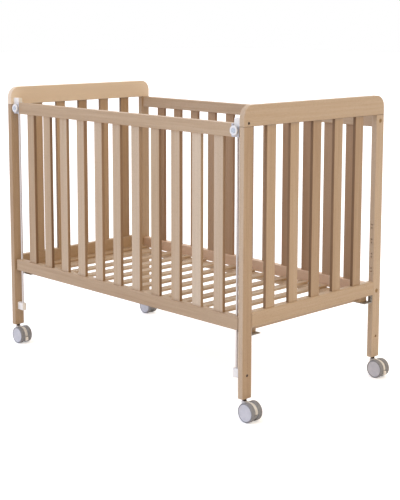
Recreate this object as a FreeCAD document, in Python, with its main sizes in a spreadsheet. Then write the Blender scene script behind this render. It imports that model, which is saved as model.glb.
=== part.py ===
import FreeCAD, Part
import Sketcher
import math
import os

# A baby crib of beech for a 1200 x 600 mm mattress: two end panels, a fixed back side, a side that
# drops on two steel rods, a slatted base on steel brackets, and four twin-wheel casters.
# X runs along the crib, Y across it with the drop side in front at -Y, and Z up from the floor.
# Every size is in millimetres.

os.makedirs("parts", exist_ok=True)
doc = FreeCAD.newDocument("crib")

# Driving dimensions: alias, value.
dimensions = [
    # the whole crib, over the posts
    ("crib_length", 1245),
    ("crib_width", 690),
    ("crib_height", 989),
    # end panels
    ("post_thick", 22),
    ("post_depth", 40),
    ("post_above_wheel", 7),
    ("post_round", 2.5),
    ("board_height", 66),
    ("board_round", 38),
    ("board_edge", 2.5),
    ("end_rail_lift", 8),
    ("end_rail_tall", 48),
    ("end_slat_count", 5),
    # rails and slats of the two sides
    ("rail_thick", 26),
    ("rail_tall", 42),
    ("rail_round", 3),
    ("side_low", 286),
    ("drop_rail_rise", 8),
    ("drop_end_gap", 8),
    ("slat_wide", 42),
    ("slat_thick", 12),
    ("slat_round", 1.8),
    ("slat_tenon", 9),
    ("side_slat_margin", 74),
    ("side_slat_count", 11),
    ("joint_slack", 0.1),
    ("mortise_spare", 0.3),
    # drop side hardware
    ("rod_radius", 4),
    ("rod_offset", 24),
    ("rod_seat", 15),
    ("rod_end_gap", 0.5),
    ("rod_round", 0.8),
    ("rod_slack", 0.08),
    ("holder_length", 33),
    ("holder_deep", 16),
    ("holder_tall", 30),
    ("holder_round", 4),
    ("holder_tip_round", 1.5),
    ("holder_web", 4),
    ("lower_holder_rise", 74),
    ("upper_holder_rise", 10.5),
    ("cap_length", 32),
    ("cap_shoulder", 5.5),
    ("cap_gap", 0.6),
    ("knob_radius", 15.5),
    ("knob_thick", 6),
    ("knob_round", 1.8),
    ("knob_travel", 4),
    ("knob_clear", 0.5),
    ("knob_neck_radius", 5),
    ("latch_wide", 13),
    ("latch_thick", 5),
    ("latch_slack", 0.3),
    ("latch_back", 2.5),
    ("latch_back_room", 1),
    ("spring_radius", 7.5),
    ("spring_wire", 0.5),
    ("spring_seat_radius", 9.5),
    ("spring_seat_depth", 3.5),
    ("spring_show", 0.3),
    # fasteners
    ("screw_radius", 3),
    ("screw_head_radius", 4.5),
    ("screw_head_depth", 5),
    ("screw_sink", 0.6),
    ("screw_tip_room", 1.4),
    ("screw_socket_radius", 2.5),
    ("screw_socket_depth", 2.5),
    ("bolt_head_radius", 7.3),
    ("bolt_head_thick", 2),
    ("bolt_sink", 0.4),
    ("bolt_socket_radius", 2.2),
    ("bolt_socket_floor", 1),
    ("bolt_length", 62),
    ("bolt_tip_room", 3),
    ("nut_from_tip", 12),
    ("barrel_radius", 5),
    ("barrel_length", 20),
    ("dowel_radius", 4),
    ("dowel_length", 36),
    ("dowel_spread", 10),
    # clearances round fitted pieces
    ("bore_slack", 0.05),
    ("bore_spare", 0.5),
    ("screw_slack", 0.15),
    ("head_slack", 0.3),
    ("thread_slack", 0.02),
    ("swivel_slack", 0.06),
    ("hub_slack", 0.08),
    ("thin_gap", 0.1),
    ("cut_over", 1),
    # slatted base
    ("base_end_gap", 2.5),
    ("base_side_gap", 5),
    ("base_below_side", 16),
    ("base_rail_wide", 38),
    ("base_rail_tall", 18),
    ("base_slat_wide", 36),
    ("base_slat_thick", 8),
    ("base_slat_count", 14),
    ("base_cross_inset", 20),
    ("height_hole_radius", 3),
    ("height_hole_pair", 11.5),
    ("height_hole_depth", 14),
    ("height_step", 51),
    ("height_hole_rise", 11),
    ("height_hole_rows", 6),
    ("bracket_sheet", 2.5),
    ("bracket_wide", 17),
    ("bracket_ledge", 46),
    ("bracket_top_gap", 0.4),
    ("bracket_screw_head", 5),
    ("bracket_screw_thick", 2.2),
    ("bracket_tip_room", 2),
    ("base_bolt_reach", 13),
    ("base_bolt_head", 5.5),
    ("base_bolt_head_thick", 3.5),
    ("slat_screw_radius", 3.6),
    ("slat_screw_thick", 1.8),
    ("slat_screw_seat", 2),
    ("slat_socket_radius", 1.5),
    ("slat_socket_floor", 0.9),
    # casters
    ("wheel_radius", 31.5),
    ("wheel_wide", 18),
    ("hub_radius", 27),
    ("hub_rim", 3),
    ("hub_recess", 1.2),
    ("tyre_round", 3),
    ("wheel_gap", 0.5),
    ("housing_wide", 12),
    ("housing_radius", 29),
    ("housing_drop", 16),
    ("housing_open_back", 18),
    ("housing_open_rise", 3),
    ("neck_wall", 4),
    ("collar_show", 9),
    ("caster_trail", 25),
    ("stem_radius", 4),
    ("stem_length", 34),
    ("collar_radius", 7),
    ("collar_gap", 0.4),
    ("axle_radius", 3),
    ("axle_short", 4),
    ("axle_end_play", 0.3),
    ("brake_pin_radius", 2),
    ("brake_pin_back", 13.5),
    ("brake_pin_drop", 9.5),
    ("brake_slot_wide", 6.6),
    ("brake_slot_tall", 20),
    ("brake_slot_back", 8.5),
    ("brake_eye_radius", 5),
    ("brake_eye_wide", 6),
    ("brake_arm_long", 11),
    ("brake_arm_tall", 8),
    ("brake_arm_drop", 0.5),
    ("brake_reach", 33),
    ("brake_wide", 11),
    ("brake_pedal_start", 6.5),
    ("brake_pedal_tall", 15),
    ("brake_pedal_drop", 3.6),
    ("brake_pedal_round", 5),
]

sheet = doc.addObject("Spreadsheet::Sheet", "Sizes")
for row, (alias, value) in enumerate(dimensions, start=1):
    sheet.set("A%d" % row, alias)
    sheet.set("B%d" % row, str(value))
    sheet.setAlias("B%d" % row, alias)
doc.recompute()


def cell(alias):
    """The cell's name as an expression."""
    return "Sizes." + alias


def number(alias):
    """The cell's value."""
    return float(getattr(sheet, alias))


# Places that several pieces share, as expressions of the cells.
post_x = "(Sizes.crib_length - Sizes.post_thick) / 2"
post_y = "(Sizes.crib_width - Sizes.post_depth) / 2"
post_foot = "(2 * Sizes.wheel_radius + Sizes.post_above_wheel)"
post_top = "(Sizes.crib_height - Sizes.board_height)"
inner_x = "(Sizes.crib_length / 2 - Sizes.post_thick)"
inner_y = "(Sizes.crib_width / 2 - Sizes.post_depth)"
end_rail_low = "(Sizes.side_low + Sizes.end_rail_lift)"
end_slat_pitch = (f"((2 * {inner_y} + Sizes.slat_wide) / (Sizes.end_slat_count + 1))")
side_low_mid = "(Sizes.side_low + Sizes.rail_tall / 2)"
back_top_low = f"({post_top} - Sizes.rail_tall)"
back_top_mid = f"({back_top_low} + Sizes.rail_tall / 2)"
drop_top_low = f"({back_top_low} + Sizes.drop_rail_rise)"
drop_top_mid = f"({drop_top_low} + Sizes.rail_tall / 2)"
drop_half = f"({inner_x} - Sizes.drop_end_gap)"
side_slat_pitch = (f"((2 * {drop_half} - 2 * Sizes.side_slat_margin - Sizes.slat_wide)"
                   " / (Sizes.side_slat_count - 1))")
barrel_x = f"({inner_x} + Sizes.post_thick - Sizes.bolt_length + Sizes.nut_from_tip)"
rod_x = f"({inner_x} - Sizes.rod_offset)"
lower_holder_height = f"({post_foot} + Sizes.lower_holder_rise)"
upper_holder_height = f"({post_top} + Sizes.upper_holder_rise)"
base_length = f"(2 * ({inner_x} - Sizes.base_end_gap))"
base_width = f"(2 * ({inner_y} - Sizes.base_side_gap))"
base_low = "(Sizes.side_low - Sizes.base_below_side)"
base_top = f"({base_low} + Sizes.base_rail_tall)"
base_slat_pitch = f"(({base_length} - Sizes.base_slat_wide) / (Sizes.base_slat_count - 1))"
height_hole_first = f"({base_low} + Sizes.height_hole_rise)"
housing_top = f"({post_foot} - Sizes.collar_show)"
holder_half = "(Sizes.holder_tall / 2)"
holder_screw_deep = "(Sizes.rod_offset - Sizes.rod_radius - Sizes.holder_web)"

ends = {"left": -1, "right": 1}
sides = {"front": -1, "back": 1}
brake_corners = [("front", "left"), ("back", "right")]

x_axis = FreeCAD.Vector(1, 0, 0)
y_axis = FreeCAD.Vector(0, 1, 0)
along_x = FreeCAD.Rotation(y_axis, 90)
along_y = FreeCAD.Rotation(x_axis, -90)
along_z = FreeCAD.Rotation()
normal_plane = {"x": "YZ_Plane", "y": "XZ_Plane", "z": "XY_Plane"}

nodes = []


def keep(item, label):
    """Take an object as a sub-part of the crib, under its own name."""
    item.Label = label
    nodes.append(item)
    return item


def bind(item, **expressions):
    """Bind properties to expressions; at_x, at_y and at_z are the placement's base."""
    for name, expression in expressions.items():
        if name.startswith("at_"):
            name = "Placement.Base." + name[3:]
        item.setExpression(name, expression)
    return item


# ---- PartDesign bodies ----

def new_body(name):
    return doc.addObject("PartDesign::Body", name)


def new_sketch(body, name, axis, offset_x="0", offset_y="0", offset_z="0"):
    """A sketch on the body's own plane across the axis, moved in that plane and along its normal."""
    sketch = body.newObject("Sketcher::SketchObject", name)
    role = normal_plane[axis]
    plane = [item for item in body.Origin.OriginFeatures if item.Role == role][0]
    sketch.AttachmentSupport = [(plane, "")]
    sketch.MapMode = "FlatFace"
    sketch.setExpression("AttachmentOffset.Base.x", offset_x)
    sketch.setExpression("AttachmentOffset.Base.y", offset_y)
    sketch.setExpression("AttachmentOffset.Base.z", offset_z)
    return sketch


def set_datum(sketch, constraint, name, expression):
    """Add a dimension to a sketch and bind it."""
    index = sketch.addConstraint(constraint)
    sketch.renameConstraint(index, name)
    sketch.setExpression("Constraints." + name, expression)


def vector(x, y):
    return FreeCAD.Vector(x, y, 0)


def draw_circle(sketch, radius):
    """A circle about the sketch's origin."""
    sketch.addGeometry(Part.Circle(vector(0, 0), FreeCAD.Vector(0, 0, 1), 1.0), False)
    sketch.addConstraint(Sketcher.Constraint("Coincident", 0, 3, -1, 1))
    set_datum(sketch, Sketcher.Constraint("Radius", 0, 1.0), "radius", radius)


def draw_bar_section(sketch, wide, tall, rounding):
    """A rectangle with four rounded corners, centred on the sketch's origin."""
    half_wide, half_tall, corner = 10.0, 5.0, 1.0
    flat_x = half_wide - corner
    flat_y = half_tall - corner
    rim = [(-flat_x, half_tall), (flat_x, half_tall), (half_wide, flat_y), (half_wide, -flat_y),
           (flat_x, -half_tall), (-flat_x, -half_tall), (-half_wide, -flat_y), (-half_wide, flat_y)]
    centres = [(flat_x, flat_y), (flat_x, -flat_y), (-flat_x, -flat_y), (-flat_x, flat_y)]
    up = FreeCAD.Vector(0, 0, 1)
    for side in range(4):
        start, end = rim[2 * side], rim[2 * side + 1]
        sketch.addGeometry(Part.LineSegment(vector(*start), vector(*end)), False)
    for index, (x, y) in enumerate(centres):
        first = math.radians(-90 * index)
        circle = Part.Circle(vector(x, y), up, corner)
        sketch.addGeometry(Part.ArcOfCircle(circle, first, first + math.pi / 2), False)
    for side in range(4):
        arc = 4 + side
        following = (side + 1) % 4
        sketch.addConstraint(Sketcher.Constraint("Tangent", side, 2, arc, 2))
        sketch.addConstraint(Sketcher.Constraint("Tangent", arc, 1, following, 1))
    for side, kind in enumerate(("Horizontal", "Vertical", "Horizontal", "Vertical")):
        sketch.addConstraint(Sketcher.Constraint(kind, side))
    for arc in (5, 6, 7):
        sketch.addConstraint(Sketcher.Constraint("Equal", 4, arc))
    sketch.addConstraint(Sketcher.Constraint("Symmetric", 4, 3, 6, 3, -1, 1))
    set_datum(sketch, Sketcher.Constraint("Radius", 4, corner), "rounding", rounding)
    set_datum(sketch, Sketcher.Constraint("DistanceX", 3, 1, 1, 1, 2 * half_wide), "wide", wide)
    set_datum(sketch, Sketcher.Constraint("DistanceY", 2, 1, 0, 2, 2 * half_tall), "tall", tall)


def pad(body, sketch, length):
    """Extrude a sketch to both sides of its plane."""
    feature = body.newObject("PartDesign::Pad", sketch.Name + "Pad")
    feature.Profile = sketch
    feature.SideType = "Symmetric"
    feature.setExpression("Length", length)
    return feature


def pocket(body, sketch, depth=None, reverse=False):
    """Cut a sketch right through both ways, or to a depth against its normal."""
    feature = body.newObject("PartDesign::Pocket", sketch.Name + "Pocket")
    feature.Profile = sketch
    if depth is None:
        feature.SideType = "Symmetric"
        feature.Type = "ThroughAll"
    else:
        feature.Type = "Length"
        feature.setExpression("Length", depth)
        feature.Reversed = reverse
    return feature


def repeat(body, feature, axis, pitch, count):
    """Repeat a feature along one of its sketch's axes."""
    pattern = body.newObject("PartDesign::LinearPattern", feature.Name + "Row")
    pattern.Originals = [feature]
    pattern.Direction = (feature.Profile[0], [axis])
    pattern.Mode = "Spacing"
    pattern.setExpression("Offset", pitch)
    pattern.setExpression("Occurrences", count)
    body.Tip = pattern
    return pattern


def bar(label, axis, wide, tall, rounding, length):
    """A straight bar along an axis, centred on its placement, with its long edges rounded.

    Across the sketch, wide is along Y for a bar along X, and along X for the other two.
    """
    body = new_body(label)
    sketch = new_sketch(body, label + "_section", axis)
    draw_bar_section(sketch, wide, tall, rounding)
    pad(body, sketch, length)
    return body


def drill(body, name, axis, across, up, radius, start="0", depth=None, reverse=False):
    """A round hole, through the body or from a start plane to a depth."""
    sketch = new_sketch(body, body.Name + "_" + name, axis, across, up, start)
    draw_circle(sketch, radius)
    return pocket(body, sketch, depth, reverse)


def mortise_row(body, name, axis, offsets, size, start, depth, reverse, pitch, count):
    """A row of blind mortises for slats; size is across and up in the sketch."""
    sketch = new_sketch(body, body.Name + "_" + name, axis, offsets[0], offsets[1], start)
    slack = " + 2 * Sizes.joint_slack"
    draw_bar_section(sketch, size[0] + slack, size[1] + slack, cell("slat_round"))
    cut = pocket(body, sketch, depth, reverse)
    along = "H_Axis" if axis == "z" and size[0] == cell("slat_wide") else "V_Axis"
    return repeat(body, cut, along, pitch, count)


def slat_row(label, axis, wide, thick, length, pitch, count, along):
    """A row of equal slats as one group of separate solids, centred on its placement."""
    body = new_body(label)
    first = "-(%s) * (%s - 1) / 2" % (pitch, count)
    across, up = (first, "0") if along == "H_Axis" else ("0", first)
    sketch = new_sketch(body, label + "_section", axis, across, up)
    draw_bar_section(sketch, wide, thick, cell("slat_round"))
    feature = pad(body, sketch, length)
    repeat(body, feature, along, pitch, count)
    return body


# ---- Part primitives and booleans ----

def primitive(kind, x="0", y="0", z="0", turn=along_z, **sizes):
    """A Part primitive with its sizes and place bound."""
    item = doc.addObject("Part::" + kind, kind)
    item.Placement = FreeCAD.Placement(FreeCAD.Vector(), turn)
    bind(item, at_x=x, at_y=y, at_z=z, **sizes)
    return item


def rod(radius, length, x="0", y="0", z="0", turn=along_z):
    """A cylinder that starts at a place and runs along Z, or along X or Y when turned."""
    return primitive("Cylinder", x, y, z, turn, Radius=radius, Height=length)


def block(length, width, height, x="0", y="0", z="0"):
    """A box centred on a place."""
    centred = ["(%s) - (%s) / 2" % pair for pair in ((x, length), (y, width), (z, height))]
    return primitive("Box", *centred, Length=length, Width=width, Height=height)


def fuse(*items):
    joined = doc.addObject("Part::MultiFuse", "Fuse")
    joined.Shapes = list(items)
    joined.Refine = True
    return joined


def cut(base, *tools):
    """The base less one or more tools."""
    result = doc.addObject("Part::Cut", "Cut")
    result.Base = base
    result.Tool = tools[0] if len(tools) == 1 else fuse(*tools)
    return result


def group(label, items):
    """Separate solids that share one name."""
    compound = doc.addObject("Part::Compound", label)
    compound.Links = list(items)
    return keep(compound, label)


def soften(base, radius, test):
    """Round the edges that pass a test, which takes an edge's two ends and its bounding box."""
    doc.recompute()
    item = doc.addObject("Part::Fillet", "Fillet")
    item.Base = base
    edges = [index for index, edge in enumerate(base.Shape.Edges, start=1) if test(edge)]
    item.Edges = [(index, radius, radius) for index in edges]
    return item


def is_rim(edge, axis, place, radius):
    """Whether an edge is a circle of a radius about an axis direction, at a place along it."""
    curve = edge.Curve
    if not isinstance(curve, Part.Circle) or abs(curve.Radius - radius) > 1e-4:
        return False
    spot = {"x": curve.Center.x, "y": curve.Center.y, "z": curve.Center.z}[axis]
    return abs(spot - place) < 1e-4


def signed(sign, expression):
    """An expression with a sign before it."""
    return "%d * %s" % (sign, expression)


# ---- End panels ----

def make_post(end, side):
    """A corner post with holes for its fasteners, its caster and the base's heights."""
    x_sign, y_sign = ends[end], sides[side]
    label = "post_%s_%s" % (side, end)
    height = f"(%s - {post_foot})" % post_top
    middle = f"(%s + {post_foot}) / 2" % post_top
    body = bar(label, "z", cell("post_thick"), cell("post_depth"), cell("post_round"), height)
    bottom = "-" + height + " / 2"
    top = height + " / 2"

    # the stem's bore in the foot, and two dowel holes in the top
    drill(body, "stem_bore", "z", "0", "0", "Sizes.stem_radius + Sizes.bore_slack",
          bottom, "Sizes.stem_length + Sizes.bore_spare", True)
    for name, y in (("front_dowel", "-Sizes.dowel_spread"), ("back_dowel", "Sizes.dowel_spread")):
        drill(body, name, "z", "0", y, "Sizes.dowel_radius + Sizes.bore_slack", top,
              "Sizes.dowel_length / 2 + Sizes.bore_spare")

    # screw or bolt holes along X, with a recess for each head in the outer face
    holes = [("holder", f"{lower_holder_height}", "screw")]
    if side == "back":
        holes += [("low_bolt", side_low_mid, "bolt"), ("top_bolt", back_top_mid, "bolt")]
    for name, level, kind in holes:
        up = "%s - %s" % (level, middle)
        outer = signed(x_sign, "Sizes.post_thick / 2")
        head = "Sizes.%s_head_radius + Sizes.head_slack" % kind
        if kind == "screw":
            deep = "Sizes.screw_head_depth + Sizes.screw_sink"
        else:
            deep = "Sizes.bolt_head_thick + Sizes.bolt_sink"
        drill(body, name, "x", "0", up, "Sizes.screw_radius + Sizes.screw_slack")
        drill(body, name + "_recess", "x", "0", up, head, outer, deep, x_sign < 0)

    # pairs of holes in the face towards the other side, one pair for each height of the base
    face = signed(y_sign, "Sizes.post_depth / 2")
    for name, sign in (("height_low", "-"), ("height_high", "+")):
        up = f"{height_hole_first} %s Sizes.height_hole_pair / 2 - %s" % (sign, middle)
        hole = drill(body, name, "y", "0", up, cell("height_hole_radius"), face,
                     cell("height_hole_depth"), y_sign < 0)
        repeat(body, hole, "V_Axis", cell("height_step"), cell("height_hole_rows"))
    bind(body, at_x=signed(x_sign, post_x), at_y=signed(y_sign, post_y), at_z=middle)
    return keep(body, label)


def make_end_board(end):
    """The board across the top of an end, with two round corners."""
    x_sign = ends[end]
    label = "end_board_" + end
    body = new_body(label)
    sketch = new_sketch(body, label + "_outline", "x")
    wide, tall, corner = 200.0, 60.0, 20.0
    up = FreeCAD.Vector(0, 0, 1)
    outline = [((-wide, 0), (wide, 0)), ((wide, 0), (wide, tall - corner)),
               ((wide - corner, tall), (corner - wide, tall)), ((-wide, tall - corner), (-wide, 0))]
    for start, end_point in outline:
        sketch.addGeometry(Part.LineSegment(vector(*start), vector(*end_point)), False)
    for x, first in ((wide - corner, 0), (corner - wide, math.pi / 2)):
        circle = Part.Circle(vector(x, tall - corner), up, corner)
        sketch.addGeometry(Part.ArcOfCircle(circle, first, first + math.pi / 2), False)
    for first, first_end, second, second_end, kind in (
            (0, 2, 1, 1, "Coincident"), (3, 2, 0, 1, "Coincident"), (1, 2, 4, 1, "Tangent"),
            (4, 2, 2, 1, "Tangent"), (2, 2, 5, 1, "Tangent"), (5, 2, 3, 1, "Tangent")):
        sketch.addConstraint(Sketcher.Constraint(kind, first, first_end, second, second_end))
    for side, kind in enumerate(("Horizontal", "Vertical", "Horizontal", "Vertical")):
        sketch.addConstraint(Sketcher.Constraint(kind, side))
    sketch.addConstraint(Sketcher.Constraint("Equal", 4, 5))
    sketch.addConstraint(Sketcher.Constraint("Symmetric", 0, 1, 0, 2, -1, 1))
    set_datum(sketch, Sketcher.Constraint("Radius", 4, corner), "rounding", cell("board_round"))
    set_datum(sketch, Sketcher.Constraint("DistanceX", 0, 1, 0, 2, 2 * wide), "wide", cell("crib_width"))
    set_datum(sketch, Sketcher.Constraint("DistanceY", 0, 2, 2, 1, tall), "tall", cell("board_height"))
    plank = pad(body, sketch, cell("post_thick"))
    doc.recompute()

    # every edge of the two faces is rounded, except along the bottom
    half = number("post_thick") / 2
    rims = ["Edge%d" % index for index, edge in enumerate(plank.Shape.Edges, start=1)
            if edge.BoundBox.XLength < 1e-3 and abs(abs(edge.BoundBox.XMin) - half) < 1e-3
            and edge.BoundBox.ZMax > 1]
    rounding = body.newObject("PartDesign::Fillet", label + "_edges")
    rounding.Base = (plank, rims)
    rounding.setExpression("Radius", cell("board_edge"))
    body.Tip = rounding

    # dowel holes over the posts, the upper holder's screw and the slats' mortises
    for side, y_sign in sides.items():
        for name, shift in (("inner", "- Sizes.dowel_spread"), ("outer", "+ Sizes.dowel_spread")):
            y = signed(y_sign, "(%s %s)" % (post_y, shift))
            drill(body, "%s_%s_dowel" % (side, name), "z", "0", y,
                  "Sizes.dowel_radius + Sizes.bore_slack", "0",
                  "Sizes.dowel_length / 2 + Sizes.bore_spare", True)
    level = f"{upper_holder_height} - " + post_top
    outer = signed(x_sign, "Sizes.post_thick / 2")
    drill(body, "holder", "x", "-" + post_y, level, "Sizes.screw_radius + Sizes.screw_slack")
    drill(body, "holder_recess", "x", "-" + post_y, level, "Sizes.screw_head_radius + Sizes.head_slack",
          outer, "Sizes.screw_head_depth + Sizes.screw_sink", x_sign < 0)
    first = "-%s * (Sizes.end_slat_count - 1) / 2" % end_slat_pitch
    mortise_row(body, "mortise", "z", ("0", first), (cell("slat_thick"), cell("slat_wide")), "0",
                "Sizes.slat_tenon + Sizes.mortise_spare", True, end_slat_pitch, cell("end_slat_count"))
    bind(body, at_x=signed(x_sign, post_x), at_z=post_top)
    return keep(body, label)


def make_end_rail(end):
    """The lower rail between two posts."""
    x_sign = ends[end]
    body = bar("end_rail_" + end, "y", cell("post_thick"), cell("end_rail_tall"), cell("post_round"),
               "2 * " + inner_y)
    first = "-%s * (Sizes.end_slat_count - 1) / 2" % end_slat_pitch
    mortise_row(body, "mortise", "z", ("0", first), (cell("slat_thick"), cell("slat_wide")),
                "Sizes.end_rail_tall / 2", "Sizes.slat_tenon + Sizes.mortise_spare", False,
                end_slat_pitch, cell("end_slat_count"))
    bind(body, at_x=signed(x_sign, post_x), at_z=f"{end_rail_low} + Sizes.end_rail_tall / 2")
    return keep(body, body.Name)


def make_end_slats(end):
    low = f"({end_rail_low} + Sizes.end_rail_tall - Sizes.slat_tenon)"
    high = "(%s + Sizes.slat_tenon)" % post_top
    body = slat_row("end_slats_" + end, "z", cell("slat_thick"), cell("slat_wide"),
                    "%s - %s" % (high, low), end_slat_pitch, cell("end_slat_count"), "V_Axis")
    bind(body, at_x=signed(ends[end], post_x), at_z="(%s + %s) / 2" % (high, low))
    return keep(body, body.Name)


def make_board_dowels():
    """Two dowels through each joint of post and board."""
    items = []
    for x_sign in ends.values():
        for y_sign in sides.values():
            for shift in ("-", "+"):
                y = "%s %s Sizes.dowel_spread" % (signed(y_sign, post_y), shift)
                items.append(rod(cell("dowel_radius"), cell("dowel_length"), signed(x_sign, post_x), y,
                                 post_top + " - Sizes.dowel_length / 2"))
    return group("board_dowels", items)


# ---- The two long sides ----

def make_side_rail(label, length, y, level, mortise_up):
    """A rail of a long side, with a row of mortises in its upper or lower face."""
    body = bar(label, "x", cell("rail_thick"), cell("rail_tall"), cell("rail_round"), length)
    first = f"-{side_slat_pitch} * (Sizes.side_slat_count - 1) / 2"
    face = "%sSizes.rail_tall / 2" % ("" if mortise_up else "-")
    mortise_row(body, "mortise", "z", (first, "0"), (cell("slat_wide"), cell("slat_thick")), face,
                "Sizes.slat_tenon + Sizes.mortise_spare", not mortise_up, side_slat_pitch,
                cell("side_slat_count"))
    bind(body, at_y=y, at_z=level)
    return body


def make_side_slats(label, y, top_low):
    low = "(Sizes.side_low + Sizes.rail_tall - Sizes.slat_tenon)"
    high = "(%s + Sizes.slat_tenon)" % top_low
    body = slat_row(label, "z", cell("slat_wide"), cell("slat_thick"), "%s - %s" % (high, low),
                    side_slat_pitch, cell("side_slat_count"), "H_Axis")
    bind(body, at_y=y, at_z="(%s + %s) / 2" % (high, low))
    return keep(body, label)


def make_back_side():
    """The fixed side: its rails are held to the back posts by bolts and barrel nuts."""
    length = "2 * " + inner_x
    for label, level, up in (("back_bottom_rail", side_low_mid, True),
                             ("back_top_rail", back_top_mid, False)):
        body = make_side_rail(label, length, post_y, level, up)
        deep = "(Sizes.bolt_length - Sizes.post_thick + Sizes.bolt_head_thick + Sizes.bolt_tip_room)"
        for end, x_sign in ends.items():
            drill(body, end + "_bolt", "x", "0", "0", "Sizes.screw_radius + Sizes.screw_slack",
                  signed(x_sign, inner_x), deep, x_sign < 0)
            drill(body, end + "_nut", "y", signed(x_sign, barrel_x), "0",
                  "Sizes.barrel_radius + Sizes.bore_slack", "-Sizes.rail_thick / 2",
                  "Sizes.barrel_length + Sizes.bore_spare", True)
        keep(body, label)
    make_side_slats("back_slats", post_y, f"{back_top_low}")


def make_side_bolts():
    """Four bolts with flat heads through the back posts, and the barrel nuts that they turn in."""
    bolts, nuts = [], []
    for x_sign in ends.values():
        for level in (side_low_mid, back_top_mid):
            start = "(Sizes.crib_length / 2 - Sizes.bolt_head_thick - Sizes.bolt_sink)"
            if x_sign > 0:
                shank_x = "%s - Sizes.bolt_length" % start
                head_x = start
            else:
                shank_x = "-" + start
                head_x = "-%s - Sizes.bolt_head_thick" % start
            shank = rod(cell("screw_radius"), cell("bolt_length"), shank_x, post_y, level, along_x)
            head = rod(cell("bolt_head_radius"), cell("bolt_head_thick"), head_x, post_y, level, along_x)
            socket_x = "%s + %s" % (head_x, signed(x_sign, cell("bolt_socket_floor")))
            socket = rod(cell("bolt_socket_radius"), cell("bolt_head_thick"), socket_x, post_y, level,
                         along_x)
            bolts.append(cut(fuse(shank, head), socket))
            nut_x = signed(x_sign, barrel_x)
            nut = rod(cell("barrel_radius"), cell("barrel_length"), nut_x,
                      "%s + Sizes.rail_thick / 2 - Sizes.barrel_length" % post_y, level, along_y)
            hole = rod("Sizes.screw_radius + Sizes.thread_slack", "4 * Sizes.barrel_radius",
                       "%s - 2 * Sizes.barrel_radius" % nut_x, post_y, level, along_x)
            nuts.append(cut(nut, hole))
    group("side_bolts", bolts)
    group("barrel_nuts", nuts)


def make_drop_side():
    """The side that slides: the rods pass through its bottom rail and its two end caps."""
    y = "-" + post_y
    bottom = make_side_rail("drop_bottom_rail", "2 * " + drop_half, y, side_low_mid, True)
    for end, x_sign in ends.items():
        drill(bottom, end + "_rod_hole", "z", signed(x_sign, rod_x), "0",
              "Sizes.rod_radius + Sizes.rod_slack")
    keep(bottom, "drop_bottom_rail")
    top = make_side_rail("drop_top_rail", "2 * (%s - Sizes.cap_length)" % drop_half, y,
                         drop_top_mid, False)
    keep(top, "drop_top_rail")
    make_side_slats("drop_slats", y, f"{drop_top_low}")


# ---- Drop side hardware ----

def make_end_cap(end):
    """The plastic end of the drop side's top rail. It holds the push latch and slides on the rod.

    Its placement is on the rod's axis at the rail's middle height.
    """
    x_sign = ends[end]
    inboard = "(%s - Sizes.cap_length - %s)" % (drop_half, rod_x)
    middle = signed(x_sign, "(%s + Sizes.cap_length / 2)" % inboard)
    cap = block(cell("cap_length"), cell("rail_thick"), cell("rail_tall"), middle)
    doc.recompute()
    half = number("rail_thick") / 2

    def long_edge(edge):
        return edge.BoundBox.XLength > 1 and abs(abs(edge.BoundBox.YMin) - half) < 1e-3

    cap = soften(cap, number("rail_round"), long_edge)
    # a step that clears the fixed upper holder above it
    step_low = f"({upper_holder_height} - {holder_half} - Sizes.cap_gap - {drop_top_mid})"
    step_size = "(2 * Sizes.rail_tall)"
    step_x = signed(x_sign, f"({inboard} + Sizes.cap_shoulder + {step_size} / 2)")
    step = block(step_size, "2 * Sizes.rail_thick", step_size, step_x, "0", f"{step_low} + {step_size} / 2")
    bore = rod("Sizes.rod_radius + Sizes.rod_slack", "2 * Sizes.rail_tall", "0", "0",
               "-Sizes.rail_tall")
    seat = rod(cell("spring_seat_radius"), "Sizes.spring_seat_depth + Sizes.cut_over", "0",
               "-Sizes.rail_thick / 2 - Sizes.cut_over", "0", along_y)
    # the latch plate's way, from the front face to past the rod
    way_back = "(Sizes.rod_radius + Sizes.latch_back + Sizes.latch_back_room + Sizes.knob_travel)"
    way_long = "(Sizes.rail_thick / 2 + %s)" % way_back
    way = block("Sizes.latch_wide + 2 * Sizes.latch_slack", way_long,
                "Sizes.latch_thick + 2 * Sizes.latch_slack", "0", "%s - %s / 2" % (way_back, way_long))
    result = cut(cap, step, bore, seat, way)
    bind(result, at_x=signed(x_sign, rod_x), at_y="-" + post_y, at_z=drop_top_mid)
    return keep(result, "end_cap_" + end)


def make_latch_knob(end):
    """A push knob, its neck, and a plate with a slot that the rod stands in."""
    x_sign = ends[end]
    front = "(-Sizes.rail_thick / 2 - Sizes.knob_travel - Sizes.knob_clear)"
    knob = rod(cell("knob_radius"), cell("knob_thick"), "0", front + " - Sizes.knob_thick", "0", along_y)
    doc.recompute()
    face = knob.Shape.BoundBox.YMin
    radius = number("knob_radius")
    knob = soften(knob, number("knob_round"), lambda edge: is_rim(edge, "y", face, radius))
    seat_floor = "(-Sizes.rail_thick / 2 + Sizes.spring_seat_depth)"
    plate_front = "(%s - Sizes.knob_travel - Sizes.thin_gap)" % seat_floor
    neck = rod(cell("knob_neck_radius"), "%s - %s" % (plate_front, front), "0", front, "0", along_y)
    plate_back = "(Sizes.rod_radius + Sizes.latch_back)"
    plate_long = "(%s - %s)" % (plate_back, plate_front)
    plate = block(cell("latch_wide"), plate_long, cell("latch_thick"), "0",
                  "(%s + %s) / 2" % (plate_back, plate_front))
    slot_wide = "(2 * Sizes.rod_radius + 2 * Sizes.latch_slack)"
    slot = block(slot_wide, "%s + Sizes.knob_travel" % slot_wide, "2 * Sizes.latch_thick", "0",
                 "-Sizes.knob_travel / 2")
    result = cut(fuse(knob, neck, plate), slot)
    bind(result, at_x=signed(x_sign, rod_x), at_y="-" + post_y, at_z=drop_top_mid)
    return keep(result, "latch_knob_" + end)


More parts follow.
